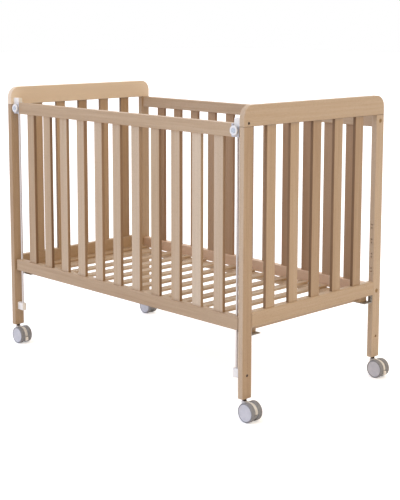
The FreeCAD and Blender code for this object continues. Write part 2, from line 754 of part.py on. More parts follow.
def make_latch_springs():
    """A coil behind each knob, drawn as short as the pressed knob makes it."""
    coils = []
    for x_sign in ends.values():
        helix = doc.addObject("Part::Helix", "Helix")
        turns = 2
        length = "(Sizes.spring_seat_depth + Sizes.spring_show - 2 * Sizes.spring_wire)"
        bind(helix, Radius=cell("spring_radius"), Height=length, Pitch="%s / %g" % (length, turns))
        wire = doc.addObject("Part::Circle", "Wire")
        wire.Placement = FreeCAD.Placement(FreeCAD.Vector(), along_y)
        bind(wire, Radius=cell("spring_wire"), at_x=cell("spring_radius"))
        coil = doc.addObject("Part::Sweep", "Coil")
        coil.Sections = [wire]
        coil.Spine = (helix, ["Edge1"])
        coil.Solid = True
        coil.Frenet = True
        coil.Placement = FreeCAD.Placement(FreeCAD.Vector(), along_y)
        floor = "-%s - Sizes.rail_thick / 2 + Sizes.spring_seat_depth" % post_y
        bind(coil, at_x=signed(x_sign, rod_x), at_z=drop_top_mid,
             at_y="%s - %s - Sizes.spring_wire - Sizes.thin_gap" % (floor, length))
        coils.append(coil)
    return group("latch_springs", coils)


def make_rod_holder(end, level_name, level):
    """A plastic block on the inside of a post or board, with a blind hole for the rod's end.

    Its placement is in the middle of the face that lies on the post or board.
    """
    x_sign = ends[end]
    body = block(cell("holder_length"), cell("holder_deep"), cell("holder_tall"),
                 signed(-x_sign, "Sizes.holder_length / 2"))
    doc.recompute()
    body = soften(body, number("holder_round"), lambda edge: edge.BoundBox.XLength > 1)
    doc.recompute()
    tip = -x_sign * number("holder_length")

    def round_the_tip(edge):
        return edge.BoundBox.XLength < 1e-3 and abs(edge.BoundBox.XMin - tip) < 1e-3

    body = soften(body, number("holder_tip_round"), round_the_tip)
    rod_place = signed(-x_sign, cell("rod_offset"))
    if level_name == "lower":
        low = f"{holder_half} - Sizes.rod_seat"
    else:
        low = f"-{holder_half} - Sizes.cut_over"
    bore = rod("Sizes.rod_radius + Sizes.bore_slack", "Sizes.rod_seat + Sizes.cut_over", rod_place, "0", low)
    start = "-Sizes.cut_over" if x_sign < 0 else "-" + holder_screw_deep
    screw = rod("Sizes.screw_radius + Sizes.bore_slack", f"{holder_screw_deep} + Sizes.cut_over",
                start, "0", "0", along_x)
    result = cut(body, bore, screw)
    bind(result, at_x=signed(x_sign, inner_x), at_y="-" + post_y, at_z=level)
    return keep(result, "%s_holder_%s" % (level_name, end))


def make_guide_rod(end):
    """A steel rod between the two holders."""
    low = f"({lower_holder_height} + {holder_half} - Sizes.rod_seat + Sizes.rod_end_gap)"
    high = f"({upper_holder_height} - {holder_half} + Sizes.rod_seat - Sizes.rod_end_gap)"
    item = rod(cell("rod_radius"), "%s - %s" % (high, low), signed(ends[end], rod_x), "-" + post_y, low)
    item = soften(item, number("rod_round"), lambda edge: isinstance(edge.Curve, Part.Circle))
    return keep(item, "guide_rod_" + end)


def make_holder_screws():
    """Socket screws through the front posts and the boards, sunk below their faces."""
    items = []
    for x_sign in ends.values():
        for level in (lower_holder_height, upper_holder_height):
            head_space = "(Sizes.screw_head_depth + Sizes.screw_sink)"
            reach = f"(Sizes.post_thick - {head_space} + {holder_screw_deep} - Sizes.screw_tip_room)"
            under = f"(Sizes.crib_length / 2 - {head_space})"
            y = "-" + post_y
            if x_sign > 0:
                shank = rod(cell("screw_radius"), reach, "%s - %s" % (under, reach), y, level, along_x)
                head = rod(cell("screw_head_radius"), cell("screw_head_depth"), under, y, level, along_x)
                socket_x = under + " + Sizes.screw_head_depth - Sizes.screw_socket_depth"
            else:
                shank = rod(cell("screw_radius"), reach, "-" + under, y, level, along_x)
                head = rod(cell("screw_head_radius"), cell("screw_head_depth"),
                           "-%s - Sizes.screw_head_depth" % under, y, level, along_x)
                socket_x = "-%s - Sizes.screw_head_depth - Sizes.cut_over" % under
            socket = rod(cell("screw_socket_radius"), "Sizes.screw_socket_depth + Sizes.cut_over",
                         socket_x, y, level, along_x)
            items.append(cut(fuse(shank, head), socket))
    return group("holder_screws", items)


# ---- Slatted base ----

def make_base_rails():
    """Two long rails and two cross rails under the slats."""
    middle = f"{base_low} + Sizes.base_rail_tall / 2"
    for side, y_sign in sides.items():
        body = bar("base_rail_" + side, "x", cell("base_rail_wide"), cell("base_rail_tall"),
                   cell("slat_round"), base_length)
        bind(body, at_y=signed(y_sign, f"({base_width} - Sizes.base_rail_wide) / 2"), at_z=middle)
        for end, x_sign in ends.items():
            x = signed(x_sign, f"({base_length} / 2 - Sizes.bracket_ledge / 2)")
            drill(body, end + "_bolt", "z", x, "0", "Sizes.screw_radius + Sizes.thin_gap",
                  "-Sizes.base_rail_tall / 2", "Sizes.base_bolt_reach + Sizes.bore_spare", True)
        keep(body, body.Name)
    rails = []
    for x_sign in ends.values():
        body = bar("base_cross", "y", cell("base_rail_wide"), cell("base_rail_tall"), cell("slat_round"),
                   f"{base_width} - 2 * Sizes.base_rail_wide")
        inset = f"({base_length} / 2 - Sizes.base_cross_inset - Sizes.base_rail_wide / 2)"
        bind(body, at_x=signed(x_sign, inset), at_z=middle)
        rails.append(body)
    group("base_cross_rails", rails)


def make_base_slats():
    """A row of thin slats across the rails."""
    body = slat_row("base_slats", "y", cell("base_slat_wide"), cell("base_slat_thick"), base_width,
                    base_slat_pitch, cell("base_slat_count"), "H_Axis")
    bind(body, at_z="%s + Sizes.base_slat_thick / 2" % base_top)
    for name, y_sign in sides.items():
        y = signed(y_sign, f"({base_width} - Sizes.base_rail_wide) / 2")
        first = "-%s * (Sizes.base_slat_count - 1) / 2" % base_slat_pitch
        hole = drill(body, name + "_screw", "z", first, y, "Sizes.slat_screw_radius + Sizes.thin_gap",
                     "Sizes.base_slat_thick / 2", cell("slat_screw_seat"))
        repeat(body, hole, "H_Axis", base_slat_pitch, cell("base_slat_count"))
    return keep(body, "base_slats")


def make_slat_screws():
    """One sunk screw head at each end of each slat."""
    items = []
    count = int(number("base_slat_count"))
    for y_sign in sides.values():
        for index in range(count):
            x = "%s * (%d - (Sizes.base_slat_count - 1) / 2)" % (base_slat_pitch, index)
            y = signed(y_sign, f"({base_width} - Sizes.base_rail_wide) / 2")
            z = "%s + Sizes.base_slat_thick - Sizes.slat_screw_seat" % base_top
            head = rod(cell("slat_screw_radius"), cell("slat_screw_thick"), x, y, z)
            socket = rod(cell("slat_socket_radius"), cell("slat_screw_thick"), x, y,
                         z + " + Sizes.slat_socket_floor")
            items.append(cut(head, socket))
    return group("slat_screws", items)


def make_brackets():
    """Four steel brackets: a leg on the post's inner face and a ledge under the base's long rail."""
    brackets, screws, bolts = [], [], []
    leg_low = f"({base_low} - Sizes.bracket_sheet)"
    leg_tall = f"({end_rail_low} - {leg_low} - Sizes.bracket_top_gap)"
    through = "(4 * Sizes.bracket_sheet)"
    for x_sign in ends.values():
        for y_sign in sides.values():
            face = signed(y_sign, "(%s - Sizes.bracket_sheet / 2 - Sizes.thin_gap)" % inner_y)
            leg = block(cell("bracket_wide"), cell("bracket_sheet"), leg_tall,
                        signed(x_sign, post_x), face, "%s + %s / 2" % (leg_low, leg_tall))
            ledge_y = f"({base_width} / 2 - Sizes.base_rail_wide)"
            ledge_wide = "(%s - Sizes.thin_gap - %s)" % (inner_y, ledge_y)
            outer = "(%s + Sizes.bracket_wide / 2)" % post_x
            ledge_long = f"(%s - {base_length} / 2 + Sizes.bracket_ledge)" % outer
            ledge = block(ledge_long, ledge_wide, cell("bracket_sheet"),
                          signed(x_sign, "(%s - %s / 2)" % (outer, ledge_long)),
                          signed(y_sign, "(%s + %s / 2)" % (ledge_y, ledge_wide)),
                          f"{base_low} - Sizes.bracket_sheet / 2")
            tools = []
            inner_face = "(%s - Sizes.thin_gap - Sizes.bracket_sheet)" % inner_y
            for sign in ("-", "+"):
                level = f"{height_hole_first} %s Sizes.height_hole_pair / 2" % sign
                x = signed(x_sign, post_x)
                tools.append(rod(cell("height_hole_radius"), through, x,
                                 "%s - %s / 2" % (signed(y_sign, inner_y), through), level, along_y))
                reach = "(Sizes.height_hole_depth + Sizes.bracket_sheet - Sizes.bracket_tip_room)"
                start = inner_face if y_sign > 0 else "-%s - %s" % (inner_face, reach)
                shank = rod("Sizes.height_hole_radius - Sizes.thin_gap", reach, x, start, level, along_y)
                tall = cell("bracket_screw_thick")
                seat = "%s - %s" % (inner_face, tall) if y_sign > 0 else "-" + inner_face
                head = rod(cell("bracket_screw_head"), tall, x, seat, level, along_y)
                screws.append(fuse(shank, head))
            bolt_x = signed(x_sign, f"({base_length} / 2 - Sizes.bracket_ledge / 2)")
            bolt_y = signed(y_sign, f"({base_width} - Sizes.base_rail_wide) / 2")
            tools.append(rod("Sizes.screw_radius + Sizes.thin_gap", through, bolt_x, bolt_y,
                             leg_low + " - Sizes.cut_over"))
            brackets.append(cut(fuse(leg, ledge), *tools))
            bolt = rod(cell("screw_radius"), "Sizes.bracket_sheet + Sizes.base_bolt_reach",
                       bolt_x, bolt_y, leg_low)
            head = rod(cell("base_bolt_head"), cell("base_bolt_head_thick"), bolt_x, bolt_y,
                       leg_low + " - Sizes.base_bolt_head_thick")
            bolts.append(fuse(bolt, head))
    group("base_brackets", brackets)
    group("bracket_screws", screws)
    group("base_bolts", bolts)


# ---- Casters ----

def make_caster(side, end):
    """A twin-wheel caster whose swivel axis is the post's centre line. It trails towards +X."""
    where = "%s_%s" % (side, end)
    x = signed(ends[end], post_x)
    y = signed(sides[side], post_y)
    has_brake = (side, end) in brake_corners
    trail, axle_z = cell("caster_trail"), cell("wheel_radius")

    big = "(4 * Sizes.wheel_radius)"
    pin_x = trail + " + Sizes.brake_pin_back"
    pin_z = axle_z + " - Sizes.brake_pin_drop"

    # the housing between the wheels, with the stem's bore and a slot for the brake's eye
    hood = rod(cell("housing_radius"), cell("housing_wide"), trail, "-Sizes.housing_wide / 2", axle_z,
               along_y)
    neck_half = "(Sizes.stem_radius + Sizes.neck_wall)"
    neck = block("%s + %s" % (neck_half, trail), cell("housing_wide"),
                 f"{housing_top} - " + axle_z, "(%s - %s) / 2" % (trail, neck_half), "0",
                 f"({housing_top} + %s) / 2" % axle_z)
    below = block(big, big, big, trail, "0", f"{axle_z} - Sizes.housing_drop - {big} / 2")
    behind = block(big, big, big, f"{trail} + Sizes.housing_open_back + {big} / 2", "0",
                   f"{axle_z} - Sizes.housing_open_rise - {big} / 2")
    bore = rod("Sizes.stem_radius + Sizes.swivel_slack", f"{housing_top}", "0", "0",
               axle_z + " - Sizes.cut_over")
    axle_hole = rod("Sizes.axle_radius + Sizes.thread_slack", big, trail, f"-{big} / 2", axle_z, along_y)
    pin_hole = rod("Sizes.brake_pin_radius + Sizes.thread_slack", big, pin_x, f"-{big} / 2", pin_z, along_y)
    slot = block(big, cell("brake_slot_wide"), cell("brake_slot_tall"),
                 f"{trail} + Sizes.brake_slot_back + {big} / 2", "0",
                 axle_z + " - Sizes.housing_open_rise - Sizes.brake_slot_tall / 2")
    housing = cut(fuse(hood, neck), below, behind, bore, axle_hole, pin_hole, slot)
    bind(housing, at_x=x, at_y=y)
    keep(housing, "caster_housing_" + where)

    # the axle, and the brake's pin where there is a brake
    half = "(Sizes.housing_wide / 2 + Sizes.wheel_gap + Sizes.wheel_wide)"
    half_axle = "(%s - Sizes.axle_short)" % half
    axle = rod(cell("axle_radius"), "2 * " + half_axle, "%s + %s" % (x, trail),
               "%s - %s" % (y, half_axle), axle_z, along_y)
    pins = [axle]
    if has_brake:
        pins.append(rod(cell("brake_pin_radius"), cell("housing_wide"), "%s + %s" % (x, pin_x),
                        "%s - Sizes.housing_wide / 2" % y, pin_z, along_y))
    group("caster_pins_" + where, pins)

    # the wheels: a hub with a blind bore and a tyre around it
    for name, y_sign in (("outer", sides[side]), ("inner", -sides[side])):
        near = "(Sizes.housing_wide / 2 + Sizes.wheel_gap)"
        start = near if y_sign > 0 else "-%s - Sizes.wheel_wide" % near
        hub = rod(cell("hub_radius"), cell("wheel_wide"), "0", start, "0", along_y)
        far_face = signed(y_sign, half)
        dish = rod("Sizes.hub_radius - Sizes.hub_rim", "2 * Sizes.hub_recess", "0",
                   "%s - Sizes.hub_recess" % far_face, "0", along_y)
        bore_half = "(%s + Sizes.axle_end_play)" % half_axle
        bore = rod("Sizes.axle_radius + Sizes.hub_slack", "2 * " + bore_half, "0", "-" + bore_half, "0",
                   along_y)
        hub = cut(hub, dish, bore)
        tyre = rod(cell("wheel_radius"), cell("wheel_wide"), "0", start, "0", along_y)
        tyre = soften(tyre, number("tyre_round"), lambda edge: isinstance(edge.Curve, Part.Circle))
        tyre = cut(tyre, rod(cell("hub_radius"), big, "0", f"-{big} / 2", "0", along_y))
        wheel = group("wheel_%s_%s" % (where, name), [hub, tyre])
        bind(wheel, at_x="%s + %s" % (x, trail), at_y=y, at_z=axle_z)

    if has_brake:
        # an eye on the pin between the housing's cheeks, and a toe pedal behind the wheels' hubs
        eye = rod(cell("brake_eye_radius"), cell("brake_eye_wide"), "0", "-Sizes.brake_eye_wide / 2", "0",
                  along_y)
        arm = block(cell("brake_arm_long"), cell("brake_eye_wide"), cell("brake_arm_tall"),
                    "Sizes.brake_arm_long / 2", "0", "-Sizes.brake_arm_drop")
        pedal_start = cell("brake_pedal_start")
        pedal_long = "(Sizes.brake_reach - Sizes.brake_pin_back - %s)" % pedal_start
        pedal = block(pedal_long, cell("brake_wide"), cell("brake_pedal_tall"),
                      "%s + %s / 2" % (pedal_start, pedal_long), "0", "-Sizes.brake_pedal_drop")
        doc.recompute()
        tip = pedal.Shape.BoundBox.XMax

        def at_tip(edge):
            box = edge.BoundBox
            return box.YLength > 1 and abs(box.XMin - tip) < 1e-3 and box.XLength < 1e-3

        pedal = soften(pedal, number("brake_pedal_round"), at_tip)
        hole = rod("Sizes.brake_pin_radius + Sizes.swivel_slack", big, "0", f"-{big} / 2", "0", along_y)
        lever = cut(fuse(eye, arm, pedal), hole)
        bind(lever, at_x="%s + %s" % (x, pin_x), at_y=y, at_z=pin_z)
        keep(lever, "brake_lever_" + where)


def make_stems():
    """A steel stem in each post's foot, with a black collar between the post and the housing."""
    items = []
    for x_sign in ends.values():
        for y_sign in sides.values():
            x, y = signed(x_sign, post_x), signed(y_sign, post_y)
            shank = rod(cell("stem_radius"), f"{post_foot} + Sizes.stem_length - Sizes.wheel_radius",
                        x, y, cell("wheel_radius"))
            collar = rod(cell("collar_radius"), f"{post_foot} - {housing_top} - Sizes.collar_gap", x, y,
                         f"{housing_top} + Sizes.collar_gap")
            items.append(fuse(shank, collar))
    return group("caster_stems", items)


for end_name in ends:
    for side_name in sides:
        make_post(end_name, side_name)
    make_end_board(end_name)
    make_end_rail(end_name)
    make_end_slats(end_name)
make_board_dowels()
make_back_side()
make_side_bolts()
make_drop_side()
for end_name in ends:
    make_end_cap(end_name)
    make_latch_knob(end_name)
    make_rod_holder(end_name, "lower", lower_holder_height)
    make_rod_holder(end_name, "upper", upper_holder_height)
    make_guide_rod(end_name)
make_latch_springs()
make_holder_screws()
make_base_rails()
make_base_slats()
make_slat_screws()
make_brackets()
make_stems()
for end_name in ends:
    for side_name in sides:
        make_caster(side_name, end_name)

doc.recompute()

# Every object must have been made, and every sub-part must be a sound solid, before any is written.
for item in doc.Objects:
    state = [word for word in item.State if word in ("Invalid", "Error")]
    if state:
        raise RuntimeError("%s (%s) failed: %s" % (item.Name, item.Label, state))
for item in nodes:
    if item.Shape.isNull() or not item.Shape.isValid() or not item.Shape.Solids:
        raise RuntimeError(item.Label + " has no sound solid")
for item in nodes:
    item.Shape.exportStep("parts/%s.step" % item.Label)
    print("%-28s %2d solid(s) %12.1f mm3" % (item.Label, len(item.Shape.Solids), item.Shape.Volume))
print(len(nodes), "nodes")
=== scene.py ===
# Looks for a beech baby crib with one drop side, on four twin-wheel casters. Blender 4.5, metres.
import math

import bpy
from mathutils import Matrix, Vector


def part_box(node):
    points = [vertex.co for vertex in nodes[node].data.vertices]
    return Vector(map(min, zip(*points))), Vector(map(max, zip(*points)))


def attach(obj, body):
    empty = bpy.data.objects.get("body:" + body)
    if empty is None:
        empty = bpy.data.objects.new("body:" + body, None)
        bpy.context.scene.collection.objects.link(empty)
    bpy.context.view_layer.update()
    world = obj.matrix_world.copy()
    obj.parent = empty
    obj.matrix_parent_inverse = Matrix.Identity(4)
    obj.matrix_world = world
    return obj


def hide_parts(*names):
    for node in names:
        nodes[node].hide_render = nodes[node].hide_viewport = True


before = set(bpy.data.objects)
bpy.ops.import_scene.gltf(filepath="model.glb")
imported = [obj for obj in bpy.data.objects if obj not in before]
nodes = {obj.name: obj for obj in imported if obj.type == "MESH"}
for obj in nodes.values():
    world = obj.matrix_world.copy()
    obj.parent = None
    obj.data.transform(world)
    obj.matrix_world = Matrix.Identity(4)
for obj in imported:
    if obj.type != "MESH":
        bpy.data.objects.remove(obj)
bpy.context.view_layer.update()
mm = 0.001
near = 1e-5  # two places closer than this, in metres, are the same place
ends = {"left": -1, "right": 1}  # the sign of X at each end
corners = [(side, end) for side in ("front", "back") for end in ends]
print("frame loaded:", len(nodes), "nodes")


# ---- small helpers ----

def onlySelect(piece):
    if bpy.context.object and bpy.context.object.mode != "OBJECT":
        bpy.ops.object.mode_set(mode="OBJECT")
    bpy.ops.object.select_all(action="DESELECT")
    piece.select_set(True)
    bpy.context.view_layer.objects.active = piece


def clearPicks(piece):
    onlySelect(piece)
    for parts in (piece.data.vertices, piece.data.edges, piece.data.polygons):
        parts.foreach_set("select", [False] * len(parts))


# Goes into edit mode with only the faces chosen whose centre and normal pass the test.
def pickFaces(piece, test):
    clearPicks(piece)
    for face in piece.data.polygons:
        face.select = bool(test(face.center, face.normal))
    bpy.context.tool_settings.mesh_select_mode = (False, False, True)
    bpy.ops.object.mode_set(mode="EDIT")


# The same for edges, by their two end points.
def pickEdges(piece, test):
    clearPicks(piece)
    points = piece.data.vertices
    for edge in piece.data.edges:
        edge.select = bool(test(points[edge.vertices[0]].co, points[edge.vertices[1]].co))
    bpy.context.tool_settings.mesh_select_mode = (False, True, False)
    bpy.ops.object.mode_set(mode="EDIT")


def applyModifier(piece, kind, **settings):
    onlySelect(piece)
    modifier = piece.modifiers.new(kind.title(), kind)
    for name, value in settings.items():
        setattr(modifier, name, value)
    bpy.ops.object.modifier_apply(modifier=modifier.name)


# Rounds the edges that turn by more than angle, by a width in mm.
def softenEdges(piece, width, segments=3, angle=60):
    applyModifier(piece, "BEVEL", width=width * mm, segments=segments, limit_method="ANGLE",
                  angle_limit=math.radians(angle))


# Rounds off the edges that are chosen in edit mode, and leaves it.
def roundPicked(width, segments):
    bpy.ops.mesh.bevel(offset=width * mm, segments=segments)
    bpy.ops.object.mode_set(mode="OBJECT")


# A box between two corners.
def addBox(name, low, high):
    low, high = Vector(low), Vector(high)
    bpy.ops.object.select_all(action="DESELECT")
    bpy.ops.mesh.primitive_cube_add(size=1, location=(low + high) / 2)
    piece = bpy.context.object
    piece.name = piece.data.name = name
    piece.scale = high - low
    bpy.ops.object.transform_apply(location=True, rotation=True, scale=True)
    return piece


# An open outline, drawn by extruding one vertex from each point to the next. It stays in edit mode.
def addOutline(name, points):
    bpy.ops.object.select_all(action="DESELECT")
    bpy.ops.mesh.primitive_plane_add(size=mm, location=points[0])
    piece = bpy.context.object
    piece.name = piece.data.name = name
    bpy.ops.object.transform_apply(location=True, rotation=True, scale=True)
    bpy.context.tool_settings.mesh_select_mode = (True, False, False)
    bpy.ops.object.mode_set(mode="EDIT")
    bpy.ops.mesh.select_all(action="SELECT")
    bpy.ops.mesh.merge(type="CENTER")
    for before, after in zip(points, points[1:]):
        bpy.ops.mesh.extrude_vertices_move(TRANSFORM_OT_translate={"value": after - before})
    bpy.ops.mesh.select_all(action="SELECT")
    return piece


# A turned piece: an outline spun round the axis through place.
# Each point of the outline is (radius, distance along the axis) in mm.
def addTurned(name, outline, place, axis, steps=48):
    along = Vector(axis).normalized()
    across = along.orthogonal().normalized()
    place = Vector(place)
    piece = addOutline(name, [place + across * r * mm + along * a * mm for r, a in outline])
    bpy.ops.mesh.spin(steps=steps, angle=2 * math.pi, center=place, axis=along)
    bpy.ops.mesh.select_all(action="SELECT")
    bpy.ops.mesh.remove_doubles(threshold=near)
    bpy.ops.mesh.normals_make_consistent(inside=False)
    bpy.ops.object.mode_set(mode="OBJECT")
    return piece


# A plain round bar, in mm, to cut bores and sockets with.
def addRod(middle, radius, depth, sides=32, rotation=(0, 0, 0)):
    bpy.ops.object.select_all(action="DESELECT")
    bpy.ops.mesh.primitive_cylinder_add(vertices=sides, radius=radius * mm, depth=depth * mm,
                                        location=middle, rotation=rotation)
    return bpy.context.object


def cutAway(piece, cutters):
    for cutter in cutters:
        applyModifier(piece, "BOOLEAN", operation="DIFFERENCE", object=cutter, solver="EXACT")
        bpy.data.objects.remove(cutter)


def copyTo(piece, name, shift, turn=None):
    twin = piece.copy()
    twin.data = piece.data.copy()
    twin.name = twin.data.name = name
    bpy.context.scene.collection.objects.link(twin)
    if turn:
        twin.data.transform(turn)
    twin.data.transform(Matrix.Translation(shift))
    return twin


def joinPieces(name, pieces):
    onlySelect(pieces[0])
    for piece in pieces:
        piece.select_set(True)
    if len(pieces) > 1:
        bpy.ops.object.join()
    pieces[0].name = pieces[0].data.name = name
    return pieces[0]


def finishPiece(piece, material, body, replaced=(), angle=35):
    onlySelect(piece)
    bpy.ops.object.transform_apply(location=True, rotation=True, scale=True)
    bpy.ops.object.shade_smooth_by_angle(angle=math.radians(angle))
    piece.data.materials.clear()
    piece.data.materials.append(material)
    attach(piece, body)
    if replaced:
        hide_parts(*replaced)
    return piece


# ---- materials ----

# An sRGB hex colour as linear RGBA.
def hexColour(code):
    parts = [int(code[i:i + 2], 16) / 255 for i in (1, 3, 5)]
    return [c / 12.92 if c <= 0.04045 else ((c + 0.055) / 1.055) ** 2.4 for c in parts] + [1]


# Adds a node, sets its properties and input values, and links inputs to the sockets given.
# A colour ramp's stops are (place, hex colour).
def addNode(tree, kind, settings=None, values=None, links=None, stops=()):
    made = tree.nodes.new(kind)
    for name, value in (settings or {}).items():
        setattr(made, name, value)
    for name, value in (values or {}).items():
        made.inputs[name].default_value = value
    for name, socket in (links or {}).items():
        tree.links.new(socket, made.inputs[name])
    for index, (place, code) in enumerate(stops):
        marks = made.color_ramp.elements
        mark = marks[index] if index < len(marks) else marks.new(place)
        mark.position, mark.color = place, hexColour(code)
    return made


# A new material with its Principled shader; values go straight onto the shader's own sockets.
def newMaterial(name, **values):
    material = bpy.data.materials.new(name)
    material.use_nodes = True
    shader = material.node_tree.nodes["Principled BSDF"]
    for socket, value in values.items():
        shader.inputs[socket.replace("_", " ")].default_value = value
    return material, material.node_tree, shader


beechLook = {
    # fair is the palest tone, there mostly for the left end board, which is dressed pale as painted light
    "fair": "#dfccb0",
    "pale": "#ceb89c",
    "body": "#bfa483",
    "deep": "#a28260",
    # dark is the deepest tone, reached mostly where painted shade darkens the narrow sides
    "dark": "#7f6142",
    "toneStops": (0.0, 0.25, 0.5, 0.78, 1.0),  # where those five tones lie on the ramp
    "paintedShadeRed": "#96673c",  # tints laid over whole pieces: the first is painted shade, the next two are painted light
    "paintedLightHoney": "#e2b48c",
    "paintedLightCream": "#f6e2c8",
    "fleck": "#866548",
    # the seam colour is a dark line at the post and board joint: partly the joint itself, partly painted
    # shade in the groove between their rounded edges
    "seamAndShade": "#5e4433",
    "seamHeight": 0.923,  # where the posts end and the boards start
    "seamWide": 0.9,  # mm to each side of it, drawn wider than real so that it shows
    "seamAndShadeStrength": 0.75,
    "ringWidth": 9,  # mm between growth rings on a sawn face
    "ringShare": 0.32,  # how much of the tone the rings, the fibre and the broad drift make up
    "fibreWidth": 2.2,  # mm, drawn coarser than real fibre so that it shows
    "fibreShare": 0.16,
    "broadScale": 8,
    "broadShare": 0.35,
    "fleckWidth": 0.7,  # mm, ray flecks, a little wider than real
    "fleckLength": 5,  # mm
    "fleckRange": (0.66, 0.78),
    "fleckStrength": 0.5,
    "toneShift": 0.085,
    "slatSpread": 0.26,  # how far the tone steps from one slat to the next
    "roughRange": (0.4, 0.54),
    "bumpStrength": 0.12,
    "bumpHeight": 0.15,  # mm
}


# Steamed beech, planed and given a satin water lacquer: straight faint grain, short darker ray flecks,
# a soft sheen, and a tone that changes from one piece of timber to the next. Some settings paint light
# and shade over it: a dark line at the post and board joint, darker narrow sides, a steady drift along
# a row of slats, and a tint over a whole piece, paler where it is painted light and browner where it is
# painted shade.
# grain is the axis that the fibres run along. pitch is the distance between slats along across.
def makeBeech(name, grain, pitch=0, across="X", shade=0.0, seed=0.0, seamShaded=False, paintedLightDrift=0.0,
              edge="", paintedSideShade=0.0, shadingTint="", shadingTintShare=0.0):
    look = beechLook
    material, tree, shader = newMaterial(name, Roughness=0.46, Coat_Weight=0.12, Coat_Roughness=0.28)
    place = addNode(tree, "ShaderNodeTexCoord").outputs["Object"]

    def streaks(crossScale, alongScale, shift, detail, roughness=0.5):
        scale = [crossScale] * 3
        scale["XYZ".index(grain)] = alongScale
        mapped = addNode(tree, "ShaderNodeMapping", values={"Scale": scale, "Location": [shift] * 3},
                         links={"Vector": place})
        made = addNode(tree, "ShaderNodeTexNoise",
                       values={"Scale": 1, "Detail": detail, "Roughness": roughness},
                       links={"Vector": mapped.outputs["Vector"]})
        return made.outputs["Fac"]

    rings = streaks(1 / (look["ringWidth"] * mm), 2.2, seed, 3, 0.6)
    fibre = streaks(1 / (look["fibreWidth"] * mm), 14, seed + 7, 2)
    broad = streaks(look["broadScale"], 0.7, seed + 13, 1)
    flecks = streaks(1 / (look["fleckWidth"] * mm), 1 / (look["fleckLength"] * mm), seed + 3, 0)

    # the tone is a sum of patterns, each with its share: (pattern, share)
    shares = [(fibre, look["fibreShare"]), (rings, look["ringShare"]), (broad, look["broadShare"])]
    shade += look["toneShift"]
    if pitch:
        # each slat is its own stick of wood, so its tone steps from slat to slat
        parts = addNode(tree, "ShaderNodeSeparateXYZ", links={"Vector": place}).outputs
        step = addNode(tree, "ShaderNodeMath", {"operation": "DIVIDE"}, {1: pitch}, {0: parts[across]})
        whole = addNode(tree, "ShaderNodeMath", {"operation": "ROUND"}, links={0: step.outputs[0]})
        pick = addNode(tree, "ShaderNodeTexWhiteNoise", {"noise_dimensions": "1D"},
                       links={"W": whole.outputs[0]})
        # the drift is painted light: the tone runs steadily from darker to paler along the row, slat by
        # slat, for light that falls unevenly across it
        shares += [(pick.outputs["Value"], look["slatSpread"]), (whole.outputs[0], paintedLightDrift)]
        shade -= look["slatSpread"] / 2
    if edge:
        # painted shade: faces turned along the axis named by edge are darkened, for the shade that
        # neighbouring slats cast on the narrow sides, and on a post for the side that gets less light
        normal = addNode(tree, "ShaderNodeTexCoord").outputs["Normal"]
        sideways = addNode(tree, "ShaderNodeSeparateXYZ", links={"Vector": normal}).outputs[edge]
        turned = addNode(tree, "ShaderNodeMath", {"operation": "ABSOLUTE"}, links={0: sideways})
        shares.append((turned.outputs[0], paintedSideShade))
    total = None
    for pattern, share in shares:
        links = {0: pattern, 2: total} if total else {0: pattern}
        total = addNode(tree, "ShaderNodeMath", {"operation": "MULTIPLY_ADD"},
                        {1: share} if total else {1: share, 2: shade}, links).outputs[0]
    tones = [look[tone] for tone in ("fair", "pale", "body", "deep", "dark")]
    surface = addNode(tree, "ShaderNodeValToRGB", links={"Fac": total},
                      stops=zip(look["toneStops"], tones)).outputs["Color"]

    # then the flecks, the shading tint and the seam's painted shade are laid over it: (colour, how much)
    fleckLow, fleckHigh = look["fleckRange"]
    spots = addNode(tree, "ShaderNodeMapRange", links={"Value": flecks},
                    values={"From Min": fleckLow, "From Max": fleckHigh,
                            "To Max": look["fleckStrength"]})
    layers = [(look["fleck"], spots.outputs["Result"])]
    # the tint over a whole piece is painted light where it is paler and painted shade where it is browner
    if shadingTint:
        layers.append((look[shadingTint], shadingTintShare))
    # painted shade: a dark line along the joint where the posts end and the boards start, for the joint
    # and for the shade in the groove between their rounded edges
    if seamShaded:
        height = addNode(tree, "ShaderNodeSeparateXYZ", links={"Vector": place}).outputs["Z"]
        onSeam = addNode(tree, "ShaderNodeMath", {"operation": "COMPARE"},
                         {1: look["seamHeight"], 2: look["seamWide"] * mm}, {0: height}).outputs[0]
        line = addNode(tree, "ShaderNodeMath", {"operation": "MULTIPLY"}, {1: look["seamAndShadeStrength"]},
                       {0: onSeam}).outputs[0]
        layers.append((look["seamAndShade"], line))
    for code, much in layers:
        mixed = addNode(tree, "ShaderNodeMix", {"data_type": "RGBA"}, {7: hexColour(code)}, {6: surface})
        if isinstance(much, float):
            mixed.inputs["Factor"].default_value = much
        else:
            tree.links.new(much, mixed.inputs["Factor"])
        surface = mixed.outputs[2]
    tree.links.new(surface, shader.inputs["Base Color"])

    roughLow, roughHigh = look["roughRange"]
    rough = addNode(tree, "ShaderNodeMapRange", values={"To Min": roughLow, "To Max": roughHigh},
                    links={"Value": fibre})
    tree.links.new(rough.outputs["Result"], shader.inputs["Roughness"])
    bump = addNode(tree, "ShaderNodeBump", links={"Height": fibre},
                   values={"Strength": look["bumpStrength"], "Distance": look["bumpHeight"] * mm})
    tree.links.new(bump.outputs["Normal"], shader.inputs["Normal"])
    return material


# ---- wood ----

def dress(material, *names):
    for name in names:
        slots = nodes[name].data.materials
        slots.clear()
        slots.append(material)


slatPitch = 99.5 * mm
endSlatPitch = 108.67 * mm
baseSlatPitch = 89.23 * mm
dress(makeBeech("beechRail", "X", shade=0.02, seed=1),
      "drop_top_rail", "drop_bottom_rail", "base_rail_front", "base_rail_back")
dress(makeBeech("beechBackRail", "X", shade=0.04, seed=5), "back_top_rail")
